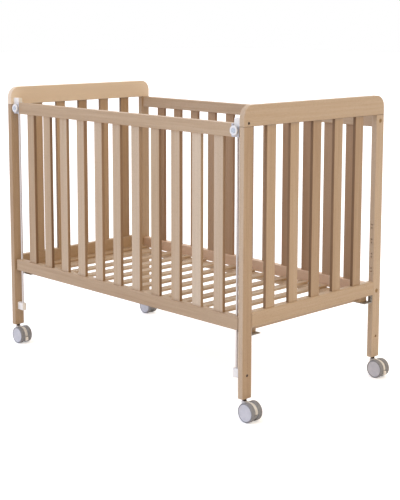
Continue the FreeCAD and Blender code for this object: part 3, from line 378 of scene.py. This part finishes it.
# the back bottom rail is dressed paler with a honey tint: painted light that lifts it out of the shade it
# lies in
dress(makeBeech("beechLowRail", "X", shade=-0.32, seed=9, shadingTint="paintedLightHoney", shadingTintShare=0.45),
      "back_bottom_rail")
# the left posts are dressed darker and the right posts paler: painted light, a gradient from left to
# right
dress(makeBeech("beechPostLeft", "Z", shade=0.12, seed=2, seamShaded=True),
      "post_front_left", "post_back_left")
dress(makeBeech("beechPostRight", "Z", shade=-0.14, seed=2, seamShaded=True), "post_back_right")
# this post's faces turned along X are darkened: painted shade on its side
dress(makeBeech("beechPostFront", "Z", shade=-0.14, seed=2, seamShaded=True, edge="X", paintedSideShade=0.2),
      "post_front_right")
dress(makeBeech("beechBoardRight", "Y", shade=-0.08, seed=3, seamShaded=True), "end_board_right")
# the left end board is dressed much paler with a cream tint: painted light that lifts its dim inner face
dress(makeBeech("beechBoardLeft", "Y", shade=-0.42, seed=12, seamShaded=True, shadingTint="paintedLightCream",
                shadingTintShare=0.6), "end_board_left")
dress(makeBeech("beechCross", "Y", shade=-0.08, seed=11),
      "end_rail_left", "end_rail_right", "base_cross_rails")
# the drop slats run paler towards the right end and darker on their narrow sides: painted light and
# painted shade
dress(makeBeech("beechSideSlat", "Z", slatPitch, shade=-0.06, seed=4, paintedLightDrift=-0.035, edge="X",
                paintedSideShade=0.4), "drop_slats")
# the back slats are dressed darker and redder, with darker narrow sides: painted shade for the shade they
# stand in
dress(makeBeech("beechBackSlat", "Z", slatPitch, shade=0.1, seed=4, edge="X", paintedSideShade=0.3,
                shadingTint="paintedShadeRed", shadingTintShare=0.35), "back_slats")
# the end slats' narrow sides, turned along Y, are darkened: painted shade
dress(makeBeech("beechSlatEnd", "Z", endSlatPitch, "Y", shade=0.1, seed=6, edge="Y", paintedSideShade=0.4),
      "end_slats_left", "end_slats_right")
dress(makeBeech("beechBaseSlat", "Y", baseSlatPitch, seed=8), "base_slats")
print("wood dressed")


# ---- plastics and metals ----

plasticLook = {
    "cloudRange": (0.35, 0.62),
    "roughSpread": (-0.06, 0.08),
    "bump": 0.1,
    "bumpHeight": 0.05,  # mm
}
steelLook = {
    "markScale": 1400,  # 0.7 mm marks, drawn coarser than real so that they show
    "markScaleAlong": 30,
    "patchScale": 350,
    "patchShare": 0.25,
    "toneRange": (0.35, 0.75),
    "roughSpread": (-0.06, 0.12),
}


# Injection-moulded plastic: an even colour with a faint cloudiness, a fine spark-eroded texture
# and a soft gloss.
def makePlastic(name, colour, shadow, roughness=0.42, grit=0.6, cloud=60):
    look = plasticLook
    material, tree, shader = newMaterial(name, Roughness=roughness, IOR=1.5)
    place = addNode(tree, "ShaderNodeTexCoord").outputs["Object"]
    clouds = addNode(tree, "ShaderNodeTexNoise", values={"Scale": cloud, "Detail": 3},
                     links={"Vector": place})
    surface = addNode(tree, "ShaderNodeValToRGB", links={"Fac": clouds.outputs["Fac"]},
                      stops=zip(look["cloudRange"], (shadow, colour)))
    tree.links.new(surface.outputs["Color"], shader.inputs["Base Color"])
    texture = addNode(tree, "ShaderNodeTexNoise", values={"Scale": 1 / (grit * mm), "Detail": 2},
                      links={"Vector": place}).outputs["Fac"]
    smoother, rougher = look["roughSpread"]
    rough = addNode(tree, "ShaderNodeMapRange", links={"Value": texture},
                    values={"To Min": roughness + smoother, "To Max": roughness + rougher})
    tree.links.new(rough.outputs["Result"], shader.inputs["Roughness"])
    bump = addNode(tree, "ShaderNodeBump", links={"Height": texture},
                   values={"Strength": look["bump"], "Distance": look["bumpHeight"] * mm})
    tree.links.new(bump.outputs["Normal"], shader.inputs["Normal"])
    return material


# Steel with a thin finish: drawn or pressed marks run one way, and the plating breaks up into
# fine patches.
def makeSteel(name, colour, shadow, roughness=0.3, grain="Z"):
    look = steelLook
    material, tree, shader = newMaterial(name, Metallic=1.0, Roughness=roughness)
    place = addNode(tree, "ShaderNodeTexCoord").outputs["Object"]
    scale = [look["markScale"]] * 3
    scale["XYZ".index(grain)] = look["markScaleAlong"]
    mapped = addNode(tree, "ShaderNodeMapping", values={"Scale": scale}, links={"Vector": place})
    marks = addNode(tree, "ShaderNodeTexNoise", values={"Scale": 1, "Detail": 2},
                    links={"Vector": mapped.outputs["Vector"]}).outputs["Fac"]
    patches = addNode(tree, "ShaderNodeTexVoronoi", values={"Scale": look["patchScale"]},
                      links={"Vector": place}).outputs["Distance"]
    mixed = addNode(tree, "ShaderNodeMath", {"operation": "MULTIPLY_ADD"}, {1: look["patchShare"]},
                    {0: patches, 2: marks}).outputs[0]
    surface = addNode(tree, "ShaderNodeValToRGB", links={"Fac": mixed},
                      stops=zip(look["toneRange"], (shadow, colour)))
    tree.links.new(surface.outputs["Color"], shader.inputs["Base Color"])
    smoother, rougher = look["roughSpread"]
    rough = addNode(tree, "ShaderNodeMapRange", links={"Value": mixed},
                    values={"To Min": roughness + smoother, "To Max": roughness + rougher})
    tree.links.new(rough.outputs["Result"], shader.inputs["Roughness"])
    return material


whiteNylon = makePlastic("whiteNylon", "#fbf7ee", "#f1ede4")
knobNylon = makePlastic("knobNylon", "#f2f2f0", "#e8e8e8", roughness=0.36)
buttonNylon = makePlastic("paleBlueButtonNylon", "#cdd6dc", "#c2ccd4", roughness=0.34)
capNylon = makePlastic("greyCapNylon", "#cfced2", "#c3c3c9")
hoodNylon = makePlastic("creamHoodNylon", "#ebe8e1", "#dedbd3", roughness=0.45)
hubNylon = makePlastic("lilacGreyHubNylon", "#d2d1d3", "#c9c9cc", roughness=0.4)
# Polyurethane tread: soft, matt, darker where dust has rubbed in.
treadRubber = makePlastic("greyPolyurethaneTread", "#949494", "#88888a", roughness=0.62, grit=0.9,
                          cloud=110)
rodSteel = makeSteel("drawnRodSteel", "#e2dedb", "#c3bebc", roughness=0.28)
zincSteel = makeSteel("zincPlatedSteel", "#b8b6b0", "#8b8984", roughness=0.34, grain="X")
bracketSteel = makeSteel("pressedBracketSteel", "#bab8b2", "#94928c", roughness=0.4, grain="X")
collarSteel = makeSteel("bronzedCollarSteel", "#5d5048", "#3a322d", roughness=0.45)
boltSteel = makeSteel("bronzeBoltSteel", "#b8996f", "#8c7050", roughness=0.42, grain="X")
screwSteel = makeSteel("darkScrewSteel", "#6b5f57", "#463d37", roughness=0.42, grain="X")


# ---- fasteners ----

# A fastener is turned once, its driver's socket is cut, and a copy goes to each place.
# Each place is (the point under the head, the direction the head faces).
def makeFasteners(name, look, places, material, node):
    head, thick, dome, socket, deep, length, shank = (
        look[k] for k in ("head", "thick", "dome", "socket", "socketDeep", "length", "shank"))
    edge = min(0.5, thick / 3)
    outline = [(0, -length)]
    if length:
        outline += [(shank - 0.6, -length), (shank, 0.8 - length), (shank, 0)]
    outline += [(head * 0.6 if look.get("flared") else head - edge, 0), (head, edge),
                (head, thick - edge), (head - edge * 0.4, thick - edge * 0.3), (head - edge, thick),
                (head * 0.5, thick + dome * 0.8), (0, thick + dome)]
    first = addTurned(name, outline, (0, 0, 0), (0, 0, 1), steps=24)
    cutters = []
    top = (thick + dome) * mm
    if look["drive"] == "hex":
        cutters.append(addRod((0, 0, top), socket, 2 * deep, sides=6))
    else:
        for wide, long in ((socket, 0.3 * socket), (0.3 * socket, socket)):
            cutters.append(addBox("cutter", (-wide * mm, -long * mm, top - deep * mm),
                                  (wide * mm, long * mm, top + mm)))
    cutAway(first, cutters)
    copies = []
    for index, (place, facing) in enumerate(places):
        turn = Vector((0, 0, 1)).rotation_difference(Vector(facing)).to_matrix().to_4x4()
        copies.append(copyTo(first, "%s%d" % (name, index), Vector(place), turn))
    bpy.data.objects.remove(first)
    finishPiece(joinPieces(name, copies), material, "root", [node])


# The separate solids of a CAD node, as (lowest, highest) corners.
def solidBoxes(node):
    mesh = nodes[node].data
    ties = {}
    for v in mesh.vertices:
        ties.setdefault(tuple(round(c * 1e5) for c in v.co), len(ties))
    keys = [ties[tuple(round(c * 1e5) for c in v.co)] for v in mesh.vertices]
    group = list(range(len(ties)))

    def top(i):
        while group[i] != i:
            group[i] = group[group[i]]
            i = group[i]
        return i

    for face in mesh.polygons:
        first = top(keys[face.vertices[0]])
        for other in face.vertices[1:]:
            group[top(keys[other])] = first
    boxes = {}
    for v, key in zip(mesh.vertices, keys):
        low, high = boxes.setdefault(top(key), (Vector(v.co), Vector(v.co)))
        for i in range(3):
            low[i], high[i] = min(low[i], v.co[i]), max(high[i], v.co[i])
    return list(boxes.values())


def middleOf(box):
    return (box[0] + box[1]) / 2


jointBoltLook = {"head": 7.3, "thick": 2, "dome": 0.4, "length": 62, "shank": 3, "drive": "hex",
                 "socket": 2.6, "socketDeep": 1.6}
holderScrewLook = {"head": 4.5, "thick": 5, "dome": 0.0, "length": 27, "shank": 3, "drive": "hex",
                   "socket": 2.4, "socketDeep": 2.5}
slatScrewLook = {"head": 3.6, "thick": 1.6, "dome": 0.15, "length": 0, "shank": 0, "drive": "cross",
                 "socket": 1.7, "socketDeep": 0.9, "flared": True}
bracketScrewLook = {"head": 5, "thick": 1.6, "dome": 0.6, "length": 14.5, "shank": 2.9, "drive": "cross",
                    "socket": 2.4, "socketDeep": 1.2, "rise": 2.2}
baseBoltLook = {"head": 5.5, "thick": 3.2, "dome": 0.3, "length": 15.5, "shank": 3, "drive": "hex",
                "socket": 2.4, "socketDeep": 2, "rise": 3.5}


# Where the fasteners of one CAD node go: (the point under the head, the direction that it faces).
# Those on X face outwards from the ends, those on Y inwards from the sides.
def endPlaces(node, thick):
    for low, high in solidBoxes(node):
        middle = (low + high) / 2
        sign = 1 if middle.x > 0 else -1
        under = max(abs(low.x), abs(high.x)) - thick * mm
        yield (sign * under, middle.y, middle.z), (sign, 0, 0)


def sidePlaces(node, rise):
    for low, high in solidBoxes(node):
        middle = (low + high) / 2
        sign = 1 if middle.y > 0 else -1
        under = min(abs(low.y), abs(high.y)) + rise * mm
        yield (middle.x, sign * under, middle.z), (0, -sign, 0)


def uprightPlaces(node, rise, facing):
    for low, high in solidBoxes(node):
        middle = (low + high) / 2
        yield (middle.x, middle.y, low.z + rise * mm), (0, 0, facing)


makeFasteners("jointBolts", jointBoltLook, endPlaces("side_bolts", jointBoltLook["thick"]),
              boltSteel, "side_bolts")
makeFasteners("holderScrews", holderScrewLook, endPlaces("holder_screws", holderScrewLook["thick"]),
              screwSteel, "holder_screws")
makeFasteners("slatScrews", slatScrewLook, uprightPlaces("slat_screws", 0, 1), zincSteel, "slat_screws")
makeFasteners("bracketScrews", bracketScrewLook, sidePlaces("bracket_screws", bracketScrewLook["rise"]),
              zincSteel, "bracket_screws")
makeFasteners("baseBolts", baseBoltLook, uprightPlaces("base_bolts", baseBoltLook["rise"], -1),
              zincSteel, "base_bolts")
print("fasteners made")


# ---- steel brackets under the base ----

bracketLook = {"sheet": 2.5, "legWide": 17, "bend": 2.2, "edge": 0.35}


def makeBrackets():
    sheet = bracketLook["sheet"] * mm
    plates = []
    for low, high in solidBoxes("base_brackets"):
        size = high - low
        xSign = 1 if low.x + high.x > 0 else -1
        ySign = 1 if low.y + high.y > 0 else -1
        outerX = max(abs(low.x), abs(high.x))
        wallY = max(abs(low.y), abs(high.y))
        legLow = outerX - bracketLook["legWide"] * mm
        # the ledge first, then its outer end is drawn up into the leg
        plate = addBox("plate", (outerX - size.x, wallY - size.y, low.z), (outerX, wallY, low.z + sheet))
        pickFaces(plate, lambda c, n: True)
        bpy.ops.mesh.bisect(plane_co=(legLow, 0, 0), plane_no=(1, 0, 0))
        bpy.ops.mesh.select_all(action="SELECT")
        bpy.ops.mesh.bisect(plane_co=(0, wallY - sheet, 0), plane_no=(0, 1, 0))
        pickFaces(plate, lambda c, n: n.z > 0.9 and c.x > legLow and c.y > wallY - sheet)
        bpy.ops.mesh.extrude_region_move(TRANSFORM_OT_translate={"value": (0, 0, size.z - sheet)})

        # the bend is round on the outside
        def onBend(point):
            return (abs(point.y - wallY) < near and abs(point.z - low.z) < near
                    and point.x > legLow - 10 * near)

        pickEdges(plate, lambda a, b: abs(a.x - b.x) > 10 * mm and onBend(a) and onBend(b))
        roundPicked(bracketLook["bend"], 4)
        softenEdges(plate, bracketLook["edge"], 2, angle=50)
        plate.data.transform(Matrix.Diagonal((xSign, ySign, 1, 1)))
        if xSign * ySign < 0:
            plate.data.flip_normals()
        plates.append(plate)
    finishPiece(joinPieces("bracketPlates", plates), bracketSteel, "root",
                ["base_brackets"])


makeBrackets()
print("brackets made")


# ---- casters ----

tyreOutline = [(27.05, 0.4), (28.4, 0), (29.7, 0.2), (30.8, 1), (31.35, 2.2), (31.5, 3.6), (31.5, 8.5),
               (31.25, 9), (31.5, 9.5), (31.5, 14.4), (31.35, 15.8), (30.8, 17), (29.7, 17.8), (28.4, 18),
               (27.4, 17.9), (27.05, 17.5), (27.05, 0.4)]
# a flat face in a thin raised rim, with a gate mark in its middle; a blind bore and a relief behind
hubOutline = [(0, 16.95), (1.3, 16.95), (1.6, 17.2), (6, 17.2), (16, 17.1), (23.2, 16.9), (23.9, 17.1),
              (24.3, 17.7), (24.9, 17.95), (26.2, 17.95), (26.8, 17.6), (26.95, 17.1), (26.95, 0.7),
              (26.4, 0.25), (21, 0.25), (20, 3), (8.4, 3), (7.4, 0.25), (3.3, 0.25), (3.3, 14.5),
              (0, 14.5)]
hoodLook = {
    "wide": 12,
    "radius": 29,
    "ribs": 14,  # low ribs across the band over the wheels
    "ribDeep": 0.7,
    "ribArc": (-5, 96),  # degrees round the axle
    "slotWide": 6.6,  # for the brake's arm
    "slotReach": (8.5, 40),  # behind the axle
    "slotDrop": (-23, -3),  # under the axle
    "axleBore": 3.05,
    "stemBore": 4.06,
    "stemBoreRise": 19,
    "boreLength": 40,
    "edge": 0.5,
}
brakeLook = {
    "pinReach": 13.5,  # the brake's pin, behind and under the axle
    "pinDrop": 9.5,
    "eye": [(2.1, -3), (4.6, -3), (5, -2.6), (5, 2.6), (4.6, 3), (2.1, 3), (2.1, -3)],
    "armFrom": 3.4,
    "armTo": 8.5,
    "armHalfWide": 3,
    "armHalfTall": 3.4,
    "armEdge": 0.5,
    "pedalFrom": 6.5,
    "pedalHalfWide": 5.5,
    "pedalTip": 5,
    "pedalEdge": 0.7,
    "grips": 3,
    "gripFrom": 8.6,
    "gripPitch": 2.2,
    "gripWide": 1.1,
    "gripTall": 0.4,
    "gripHalfLong": 4.2,
}
stemLook = {"collarLow": 61.4, "collarHigh": 70, "radius": 4, "collar": 7, "neck": 6.5, "edge": 0.6,
            "taper": 0.8}


def makeWheels():
    tyre = addTurned("tyre", tyreOutline, (0, 0, 0), (0, 1, 0), steps=72)
    hub = addTurned("hub", hubOutline, (0, 0, 0), (0, 1, 0), steps=72)
    for side, end in corners:
        for which in ("outer", "inner"):
            label = "%s_%s_%s" % (side, end, which)
            node = body = "wheel_" + label
            low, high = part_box(node)
            centre = (low + high) / 2
            facing = (1 if side == "back" else -1) * (1 if which == "outer" else -1)
            start = Vector((centre.x, low.y if facing > 0 else high.y, centre.z))
            turn = None if facing > 0 else Matrix.Rotation(math.pi, 4, "Z")
            finishPiece(copyTo(tyre, "tyre_" + label, start, turn), treadRubber, body, [node])
            finishPiece(copyTo(hub, "hub_" + label, start, turn), hubNylon, body, [node])
    bpy.data.objects.remove(tyre)
    bpy.data.objects.remove(hub)


# The hood between the wheels, drawn in the XZ plane from the stem's axis: a band over the wheels,
# open low at the back, and a neck that takes the stem.
def hoodOutline(trail, axle):
    def onArc(radius, angle):
        turn = math.radians(angle)
        return trail + radius * math.cos(turn), axle + radius * math.sin(turn)

    radius, ribbed = hoodLook["radius"], hoodLook["radius"] - hoodLook["ribDeep"]
    points = [(1.2, axle - 16), (trail + 16.5, axle - 16), (trail + 18, axle - 14.5),
              (trail + 18, axle - 4), (trail + 19.2, axle - 3)]
    first, last = hoodLook["ribArc"]
    count = hoodLook["ribs"]
    width = (last - first) / count
    for step in range(count):
        angle = first + (last - first) * step / count
        for share, reach in ((0.0, radius), (0.62, radius), (0.72, ribbed), (0.9, ribbed)):
            points.append(onArc(reach, angle + share * width))
    points += [(trail - 8, 60.2), (trail - 14, 61), (-6.5, 61), (-8, 59.5), (-8, 36), (-6, 30)]
    return points + [onArc(radius, angle) for angle in (188, 196, 204, 210)]


def makeHoods(trail, axleZ):
    look = hoodLook
    points = [Vector((x, -look["wide"] / 2, z)) * mm for x, z in hoodOutline(trail, axleZ)]
    hood = addOutline("hood", points)
    bpy.ops.mesh.edge_face_add()
    bpy.ops.mesh.extrude_region_move(TRANSFORM_OT_translate={"value": (0, look["wide"] * mm, 0)})
    bpy.ops.mesh.select_all(action="SELECT")
    bpy.ops.mesh.normals_make_consistent(inside=False)
    bpy.ops.object.mode_set(mode="OBJECT")
    half = look["slotWide"] / 2 * mm
    (slotFrom, slotTo), (slotLow, slotHigh) = look["slotReach"], look["slotDrop"]
    slot = addBox("slot", ((trail + slotFrom) * mm, -half, (axleZ + slotLow) * mm),
                  ((trail + slotTo) * mm, half, (axleZ + slotHigh) * mm))
    axleBore = addRod((trail * mm, 0, axleZ * mm), look["axleBore"], look["boreLength"],
                      rotation=(math.pi / 2, 0, 0))
    stemBore = addRod((0, 0, (axleZ + look["stemBoreRise"]) * mm), look["stemBore"], look["boreLength"])
    cutAway(hood, [slot, axleBore, stemBore])
    softenEdges(hood, look["edge"], 2)
    for side, end in corners:
        label = "%s_%s" % (side, end)
        post = middleOf(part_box("post_" + label))
        finishPiece(copyTo(hood, "hood_" + label, Vector((post.x, post.y, 0))), hoodNylon,
                    "swivel_" + label, ["caster_housing_" + label])
    bpy.data.objects.remove(hood)


def makeBrakes(trail, axleZ):
    look = brakeLook
    for label in ("front_left", "back_right"):
        node = "brake_lever_" + label
        low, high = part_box(node)
        post = middleOf(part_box("post_" + label))
        pinX, pinZ = post.x + (trail + look["pinReach"]) * mm, (axleZ - look["pinDrop"]) * mm

        # a box from one distance behind the pin to another, as wide to each side of the middle
        def addBlock(name, start, end, halfWide, bottom, top):
            return addBox(name, (start, post.y - halfWide * mm, bottom),
                          (end, post.y + halfWide * mm, top))

        eye = addTurned("eye", look["eye"], (pinX, post.y, pinZ), (0, 1, 0), steps=32)
        halfTall = look["armHalfTall"] * mm
        arm = addBlock("arm", pinX + look["armFrom"] * mm, pinX + look["armTo"] * mm,
                       look["armHalfWide"], pinZ - halfTall, pinZ + halfTall)
        softenEdges(arm, look["armEdge"], 2, angle=30)
        # the toe pedal: a block with a rounded tip, and three grip ribs across the top
        tip = high.x
        pedal = addBlock("pedal", pinX + look["pedalFrom"] * mm, tip, look["pedalHalfWide"],
                         low.z, high.z)
        pickEdges(pedal, lambda a, b: abs(a.x - tip) < near and abs(b.x - tip) < near
                  and abs(a.y - b.y) > 5 * mm)
        roundPicked(look["pedalTip"], 6)
        softenEdges(pedal, look["pedalEdge"])
        grips = []
        for step in range(look["grips"]):
            x = pinX + (look["gripFrom"] + look["gripPitch"] * step) * mm
            grips.append(addBlock("grip", x, x + look["gripWide"] * mm, look["gripHalfLong"],
                                  high.z - look["gripTall"] * mm, high.z))
        finishPiece(joinPieces("brakePedal_" + label, [eye, arm, pedal] + grips), whiteNylon,
                    "brake_" + label, [node])


def makeStems(axleZ):
    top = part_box("caster_stems")[1].z / mm
    low, high, radius, collar, neck, edge, taper = (
        stemLook[k] for k in ("collarLow", "collarHigh", "radius", "collar", "neck", "edge", "taper"))
    outline = [(0, axleZ), (radius - edge, axleZ), (radius, axleZ + taper), (radius, low), (neck, low),
               (collar, low + 0.5), (collar, low + 3), (neck, low + 3.4), (neck, low + 4),
               (collar, low + 4.4), (collar, high - edge), (collar - 0.4, high), (radius, high),
               (radius, top - taper), (radius - edge, top), (0, top)]
    stem = addTurned("stem", outline, (0, 0, 0), (0, 0, 1), steps=32)
    stems = []
    for side, end in corners:
        post = middleOf(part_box("post_%s_%s" % (side, end)))
        stems.append(copyTo(stem, "stem", Vector((post.x, post.y, 0))))
    bpy.data.objects.remove(stem)
    finishPiece(joinPieces("casterStems", stems), collarSteel, "root", ["caster_stems"])


wheelMiddle = middleOf(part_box("wheel_front_right_outer"))
axleZ = wheelMiddle.z / mm
trail = (wheelMiddle.x - middleOf(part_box("post_front_right")).x) / mm
makeWheels()
makeHoods(trail, axleZ)
makeBrakes(trail, axleZ)
makeStems(axleZ)
print("casters made")


# ---- drop side's latches, holders and rods ----

knobLook = {
    "radius": 15.5,
    "thick": 6,
    "ringDrop": 1.2,  # the ring lies this far behind the button's face
    "buttonRadius": 7.4,
    "grooveDeep": 1.4,
    "neck": 5,  # the radius of the neck behind the ring
    "neckLong": 3.9,
    "plateHalf": (6.5, 2.5),  # the latch plate, to each side in X and in Z
    "plateEdge": 0.3,
    "slotHalf": (4.3, 5),  # the slot that the rod runs through
    "slotDeep": (8.3, 4.3),  # before and behind the rod
}


def makeKnobs():
    look = knobLook
    r, t, button = look["radius"], look["thick"], look["buttonRadius"]
    ring = t - look["ringDrop"]
    groove = ring - look["grooveDeep"]
    outline = [(0, groove), (button + 1.2, groove), (button + 1.6, ring - 0.5),
               (button + 2.2, ring - 0.1), (button + 3.4, ring), (r - 2.4, ring), (r - 1.2, ring - 0.3),
               (r - 0.35, ring - 1.1), (r, ring - 2), (r, 0.5), (r - 0.5, 0), (look["neck"], 0),
               (look["neck"], -look["neckLong"]), (0, -look["neckLong"])]
    buttonOutline = [(0, t), (button - 2, t - 0.05), (button - 0.8, t - 0.3), (button - 0.2, t - 0.9),
                     (button, t - 1.7), (button, groove - 0.4), (0, groove - 0.4)]
    plateX, plateZ = (half * mm for half in look["plateHalf"])
    slotX, slotZ = (half * mm for half in look["slotHalf"])
    before, behind = (deep * mm for deep in look["slotDeep"])
    for end in ends:
        node = "latch_knob_" + end
        low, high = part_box(node)
        x, z = middleOf((low, high)).x, middleOf((low, high)).z
        rodY = middleOf(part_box("guide_rod_" + end)).y
        face = Vector((x, low.y + t * mm, z))
        knob = addTurned("knob", outline, face, (0, -1, 0), steps=64)
        plate = addBox("plate", (x - plateX, face.y + look["neckLong"] * mm, z - plateZ),
                       (x + plateX, high.y, z + plateZ))
        cutAway(plate, [addBox("slot", (x - slotX, rodY - before, z - slotZ),
                               (x + slotX, rodY + behind, z + slotZ))])
        softenEdges(plate, look["plateEdge"], 2)
        finishPiece(joinPieces("pushKnob_" + end, [knob, plate]), knobNylon, "knob_" + end,
                    [node])
        finishPiece(addTurned("knobButton_" + end, buttonOutline, face, (0, -1, 0), steps=48),
                    buttonNylon, "knob_" + end, [node])


holderLook = {
    "round": 4,  # the edges along the crib
    "edge": 0.9,  # every other edge and the mouth of the bore
    "grooveStart": 2.6,  # a parting groove beside the post
    "grooveWide": 0.9,
    "grooveDeep": 0.45,
    "bore": 4.3,
    "boreLong": 30,
}


# A rod holder: a moulded block on the post, with soft edges, a parting groove and a bore for the
# rod's end.
def makeHolders():
    look = holderLook
    half = look["boreLong"] * mm / 2
    for end, sign in ends.items():
        rodLow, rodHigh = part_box("guide_rod_" + end)
        rod = (rodLow + rodHigh) / 2
        for level, boreZ in (("lower", rodLow.z + half), ("upper", rodHigh.z - half)):
            node = "%s_holder_%s" % (level, end)
            low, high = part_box(node)
            name = "rodHolder_%s_%s" % (level, end)
            holder = addBox(name, low, high)
            pickEdges(holder, lambda a, b: abs(a.x - b.x) > 10 * mm)
            bpy.ops.mesh.bevel(offset=look["round"] * mm, segments=6)
            wall = high.x if sign > 0 else low.x
            grooves = [wall - sign * away * mm
                       for away in (look["grooveStart"], look["grooveStart"] + look["grooveWide"])]
            for x in grooves:
                bpy.ops.mesh.select_all(action="SELECT")
                bpy.ops.mesh.bisect(plane_co=(x, 0, 0), plane_no=(1, 0, 0))
            bpy.ops.object.mode_set(mode="OBJECT")
            pickFaces(holder, lambda c, n: abs(n.x) < 0.5 and min(grooves) < c.x < max(grooves))
            bpy.ops.mesh.extrude_region_shrink_fatten(
                TRANSFORM_OT_shrink_fatten={"value": -look["grooveDeep"] * mm})
            bpy.ops.object.mode_set(mode="OBJECT")
            cutAway(holder, [addRod((rod.x, rod.y, boreZ), look["bore"], look["boreLong"])])
            softenEdges(holder, look["edge"])
            finishPiece(holder, whiteNylon, "root", [node])


makeKnobs()
makeHolders()
dress(rodSteel, "guide_rod_left", "guide_rod_right")
dress(capNylon, "end_cap_left", "end_cap_right")
dress(zincSteel, "latch_springs", "barrel_nuts", *["caster_pins_%s_%s" % c for c in corners])
dress(makeBeech("beechDowel", "Z", seed=9), "board_dowels")
print("latches, holders and rods made")


# ---- floor, light and camera ----

studio = {
    "floorColour": "#fdfcfb",
    "floorWide": 60,
    "floorGlow": 0.45,  # keeps the shadows on the floor pale, and adds no light to the crib
    "roomColour": "#eef2ff",
    "roomGlow": 0.37,  # light from all round; the backdrop itself is plain white
    "mirrorGlow": 0.6,  # how far mirrored rays see the white backdrop
    "lampFar": 4,
    "cameraPlace": (3.00544, -2.81331, 1.25113),
    "turn": 45.44,  # degrees round from the front
    "tilt": 7.86,  # degrees down
    "roll": 0.2,
    "lens": 82.26,
    "shift": (-0.031, -0.15),
}
# Very wide suns, so that the light is soft and as even on the floor far off as it is near the crib.
lamps = [  # name, the way it comes from, strength, width in degrees, colour
    ("frontSky", (-0.45, -1.0, 0.75), 1.36, 60, "#d2ddff"),
    ("sideSky", (1.0, -0.05, 0.8), 0.85, 60, "#ffd480"),
    ("backSky", (-0.8, 0.8, 0.7), 0.8, 70, "#fff3e4"),
    ("topSky", (0.1, 0.0, 1.0), 0.8, 80, "#ffffff"),
]
white = (1, 1, 1, 1)


def makeRoom():
    world = bpy.data.worlds.new("softWhiteRoom")
    world.use_nodes = True
    tree = world.node_tree
    tree.nodes.clear()
    glow = addNode(tree, "ShaderNodeBackground", values={"Color": hexColour(studio["roomColour"]),
                                                         "Strength": studio["roomGlow"]})
    backdrop = addNode(tree, "ShaderNodeBackground", values={"Color": white, "Strength": 1})
    path = addNode(tree, "ShaderNodeLightPath").outputs
    mirrored = addNode(tree, "ShaderNodeMath", {"operation": "MULTIPLY"}, {1: studio["mirrorGlow"]},
                       {0: path["Is Glossy Ray"]}).outputs[0]
    seen = addNode(tree, "ShaderNodeMath", {"operation": "MAXIMUM"},
                   links={0: path["Is Camera Ray"], 1: mirrored}).outputs[0]
    mixed = addNode(tree, "ShaderNodeMixShader", links={"Fac": seen})
    tree.links.new(glow.outputs[0], mixed.inputs[1])
    tree.links.new(backdrop.outputs[0], mixed.inputs[2])
    addNode(tree, "ShaderNodeOutputWorld", links={"Surface": mixed.outputs[0]})
    bpy.context.scene.world = world


def makeFloor():
    bpy.ops.object.select_all(action="DESELECT")
    bpy.ops.mesh.primitive_plane_add(size=studio["floorWide"], location=(0, 0, 0))
    floor = bpy.context.object
    floor.name = "studioFloor"
    paper, tree, shader = newMaterial("whitePaper", Roughness=0.9, Emission_Color=white,
                                      Base_Color=hexColour(studio["floorColour"]))
    seen = addNode(tree, "ShaderNodeLightPath").outputs["Is Camera Ray"]
    lift = addNode(tree, "ShaderNodeMath", {"operation": "MULTIPLY"}, {1: studio["floorGlow"]}, {0: seen})
    tree.links.new(lift.outputs[0], shader.inputs["Emission Strength"])
    floor.data.materials.append(paper)


def makeLamps():
    for name, source, strength, width, colour in lamps:
        bpy.ops.object.light_add(type="SUN", location=Vector(source) * studio["lampFar"])
        lamp = bpy.context.object
        lamp.name = name
        lamp.data.energy, lamp.data.angle = strength, math.radians(width)
        lamp.data.color = hexColour(colour)[:3]
        lamp.rotation_euler = Vector(source).to_track_quat("Z", "Y").to_euler()


def makeCamera():
    bpy.ops.object.camera_add(location=studio["cameraPlace"])
    camera = bpy.context.object
    camera.rotation_euler = (math.radians(90 - studio["tilt"]), 0, math.radians(studio["turn"]))
    camera.rotation_euler.rotate_axis("Z", math.radians(studio["roll"]))
    camera.data.lens = studio["lens"]
    camera.data.shift_x, camera.data.shift_y = studio["shift"]
    bpy.context.scene.camera = camera


bpy.context.scene.view_settings.view_transform = "Standard"
makeRoom()
makeFloor()
makeLamps()
makeCamera()
print("studio ready")
